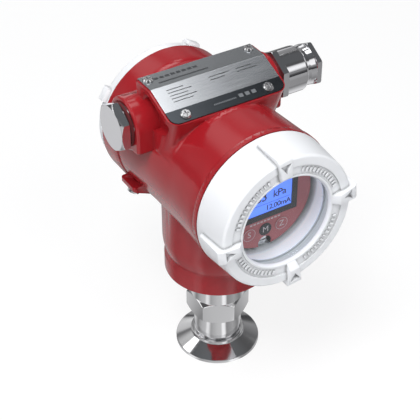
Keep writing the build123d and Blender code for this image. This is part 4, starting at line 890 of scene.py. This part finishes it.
def display_marks(name, words, bars, depth, material, slot, thicker=0.0):
    """Words (text, size, x, height) and bars (x, height, width, tall) a hair in front of the display."""
    made = bmesh.new()
    for text, size, x, height in words:
        curve = bpy.data.curves.new(name, "FONT")
        curve.body = text
        curve.size = size / 1000
        curve.offset = thicker / 1000
        curve.space_character = 0.92
        curve.align_x = "CENTER"
        curve.align_y = "CENTER"
        curve.resolution_u = 3
        written = bpy.data.objects.new(name, curve)
        scene.collection.objects.link(written)
        bpy.context.view_layer.update()
        flat = bpy.data.meshes.new_from_object(written)
        flat.transform(
            Matrix.Translation((x / 1000, -depth / 1000, (barrel_centre[2] + height) / 1000))
            @ Matrix.Rotation(math.pi / 2, 4, "X")
        )
        made.from_mesh(flat)
        bpy.data.objects.remove(written)
    for x, height, width, tall in bars:
        corners = [
            (x + i * width / 2, -depth, barrel_centre[2] + height + j * tall / 2)
            for i, j in ((-1, -1), (1, -1), (1, 1), (-1, 1))
        ]
        made.faces.new([made.verts.new(Vector(corner) / 1000) for corner in corners])
    fitted(new_piece(name, made), "enclosure", slot, material)


display_marks(
    "lcd_figures",
    (
        ("16.83", 8.0, -7.0, 3.2), ("kPa", 6.4, 8.9, 3.0), ("12.00mA", 4.7, 8.2, -4.3),
        ("%", 4.0, -13.6, -4.3),
    ),
    ((0, -1.3, 31.0, 0.3), (0, 9.2, 31.0, 0.3), *[(-13.5 + 1.5 * i, 11.6, 1.0, 2.2) for i in range(12)]),
    panel_front, lcd_ink, "lcd_blue", thicker=0.08,
)
display_marks(
    "face_print", (), [(-9 + 2.2 * i, -12.0, 1.5, 0.9) for i in range(9)], face_front, key_ink,
    "display_red",
)
display_marks(
    "key_letters",
    [(letter, 5.2, x, key_height) for letter, x in (("S", -key_spread), ("M", 0), ("Z", key_spread))],
    (), key_front, key_ink, "dark_plastic",
)
key_ring = [(r, key_front + rise) for r, rise in ((3.55, -0.02), (3.8, -0.02), (3.8, 0.01), (3.55, 0.01))]
for name, x in (("ring_s", -key_spread), ("ring_z", key_spread)):
    key_centre = (x, 0, barrel_centre[2] + key_height)
    ring = turned_piece(name, key_ring, key_centre, to_front, (1, 0, 0), ease=0.0, turns=64)
    fitted(ring, "enclosure", "dark_plastic", key_ink)

# Blanking plug: bright nickel plated hexagon with a collar on a flat washer, closing the
# unused cable entry.
nickel = finish(
    "bright_nickel", (0.78, 0.78, 0.80), 0.07, metallic=1.0, scale=500, variation=0.03, spread=0.05,
    bump=0.01,
)
conduit_centre = (0, 21.5, 159.0)
plug_flats = 25.0
plug_corner = 14.434
plug_chamfer = [
    (plug_corner - (plug_corner - plug_flats / 2) * i / 6, 52.3 + 1.3 * i / 6) for i in range(7)
]
plug = turned_piece(
    "plug_hexagon",
    [(7, 32.3), (10.02, 32.3), (10.02, 47.7), (11.6, 47.7), (11.6, 48.7), (14.1, 48.7)]
    + [(plug_corner, 49.0), *plug_chamfer]
    + [(0, 53.6), (0, 46.3), (7, 46.3)],
    conduit_centre, (-1, 0, 0), upright, ease=0.12, flats=plug_flats,
)
fitted(plug, "plug", "nickel", nickel, "blanking_plug")

# Cable gland: nickel plated body with a spanner hexagon and a smooth cup over the grommet,
# screwed into the crossbar's right end on a flat washer.
gland = turned_piece(
    "gland_turned",
    [
        (6.6, 31.3), (10.02, 31.3), (10.02, 48.2), (14.8, 48.2), (15.127, 48.5), (15.127, 51.6),
        (14.8, 51.9), (13.3, 51.9), (13.3, 64.7), (12.9, 65.7), (11.7, 66.3), (10.6, 66.3), (10.6, 49.2),
        (6.6, 49.2),
    ],
    conduit_centre, (1, 0, 0), upright, ease=0.2, flats=26.2,
)
fitted(gland, "gland", "nickel", nickel, "gland_body")

# Gland cap nut: nickel plated, with a round neck, a cone and an end hexagon. It is screwed
# into the gland's cup and presses on the grommet.
gland_cap = turned_piece(
    "gland_cap_turned",
    [
        (6.8, 58.5), (10.52, 58.5), (10.52, 66.6), (11.4, 66.6), (11.4, 68.8), (11.8, 72.4), (13.3, 72.4),
        (13.626, 72.7), (13.626, 75.2), (13.3, 75.5), (6.8, 75.5),
    ],
    conduit_centre, (1, 0, 0), upright, ease=0.2, flats=23.6,
)
fitted(gland_cap, "gland_cap", "nickel", nickel, "gland_cap_nut")

# Inner pieces and small fastenings: each keeps its own shape from the frame and gets the finish of its
# real stuff, whether moulded plastic, rubber, solder mask, brass or plated steel. The two washers instead
# get a dark red-brown that is painted shade.
grey_plastic = finish("grey_plastic", (0.18, 0.19, 0.20), 0.5, scale=1500, variation=0.05, bump=0.05)
white_plastic = finish("white_plastic", (0.72, 0.72, 0.71), 0.5, scale=1500, variation=0.03, bump=0.03)
rubber = finish("seal_rubber", (0.02, 0.02, 0.02), 0.7, scale=2000, variation=0.15, bump=0.1)
board_green = finish(
    "board_green", (0.02, 0.13, 0.06), 0.35, scale=700, variation=0.2, bump=0.05, coat=0.3,
)
brass = finish("turned_brass", (0.72, 0.55, 0.28), 0.25, metallic=1.0, scale=1200, bump=0.02)
black_metal = finish("black_anodised", (0.03, 0.03, 0.035), 0.35, metallic=1.0, scale=1500, bump=0.02)
slot_finish = {
    "stainless": bright_steel, "steel_screw": screw_steel, "black_anodised": black_metal,
    "seal_rubber": rubber, "display_red": display_red, "dark_plastic": dark_plastic,
    "grey_plastic": grey_plastic, "white_plastic": white_plastic, "lcd_blue": lcd_blue,
    "circuit_board": board_green, "brass_parts": brass, "nickel": nickel,
    "red_paint": red_paint, "white_paint": white_paint, "window_glass": window_glass,
    "plate_steel": plate_steel,
}
part_slots = {row["node"]: row["material_slot"] for row in frame["record"]["subparts"]}
pale_silicone = finish("pale_silicone", (0.62, 0.63, 0.66), 0.5, scale=1500, variation=0.05, bump=0.05)
# The washers' dark red-brown is painted shade for the shaded gap under the plug's and the gland's
# hexagons.
washer_painted_shade = finish("washer_painted_shade", (0.10, 0.014, 0.016), 0.6, scale=1500, variation=0.1, bump=0.05)
own_finish = {
    "glass_gasket": pale_silicone, "glass_clamp_ring": white_paint, "button_s": display_red,
    "button_z": display_red, "plug_washer": washer_painted_shade, "gland_washer": washer_painted_shade,
}
for name, shape in node.items():
    shape.data.materials.clear()
    shape.data.materials.append(own_finish.get(name, slot_finish[part_slots[name]]))
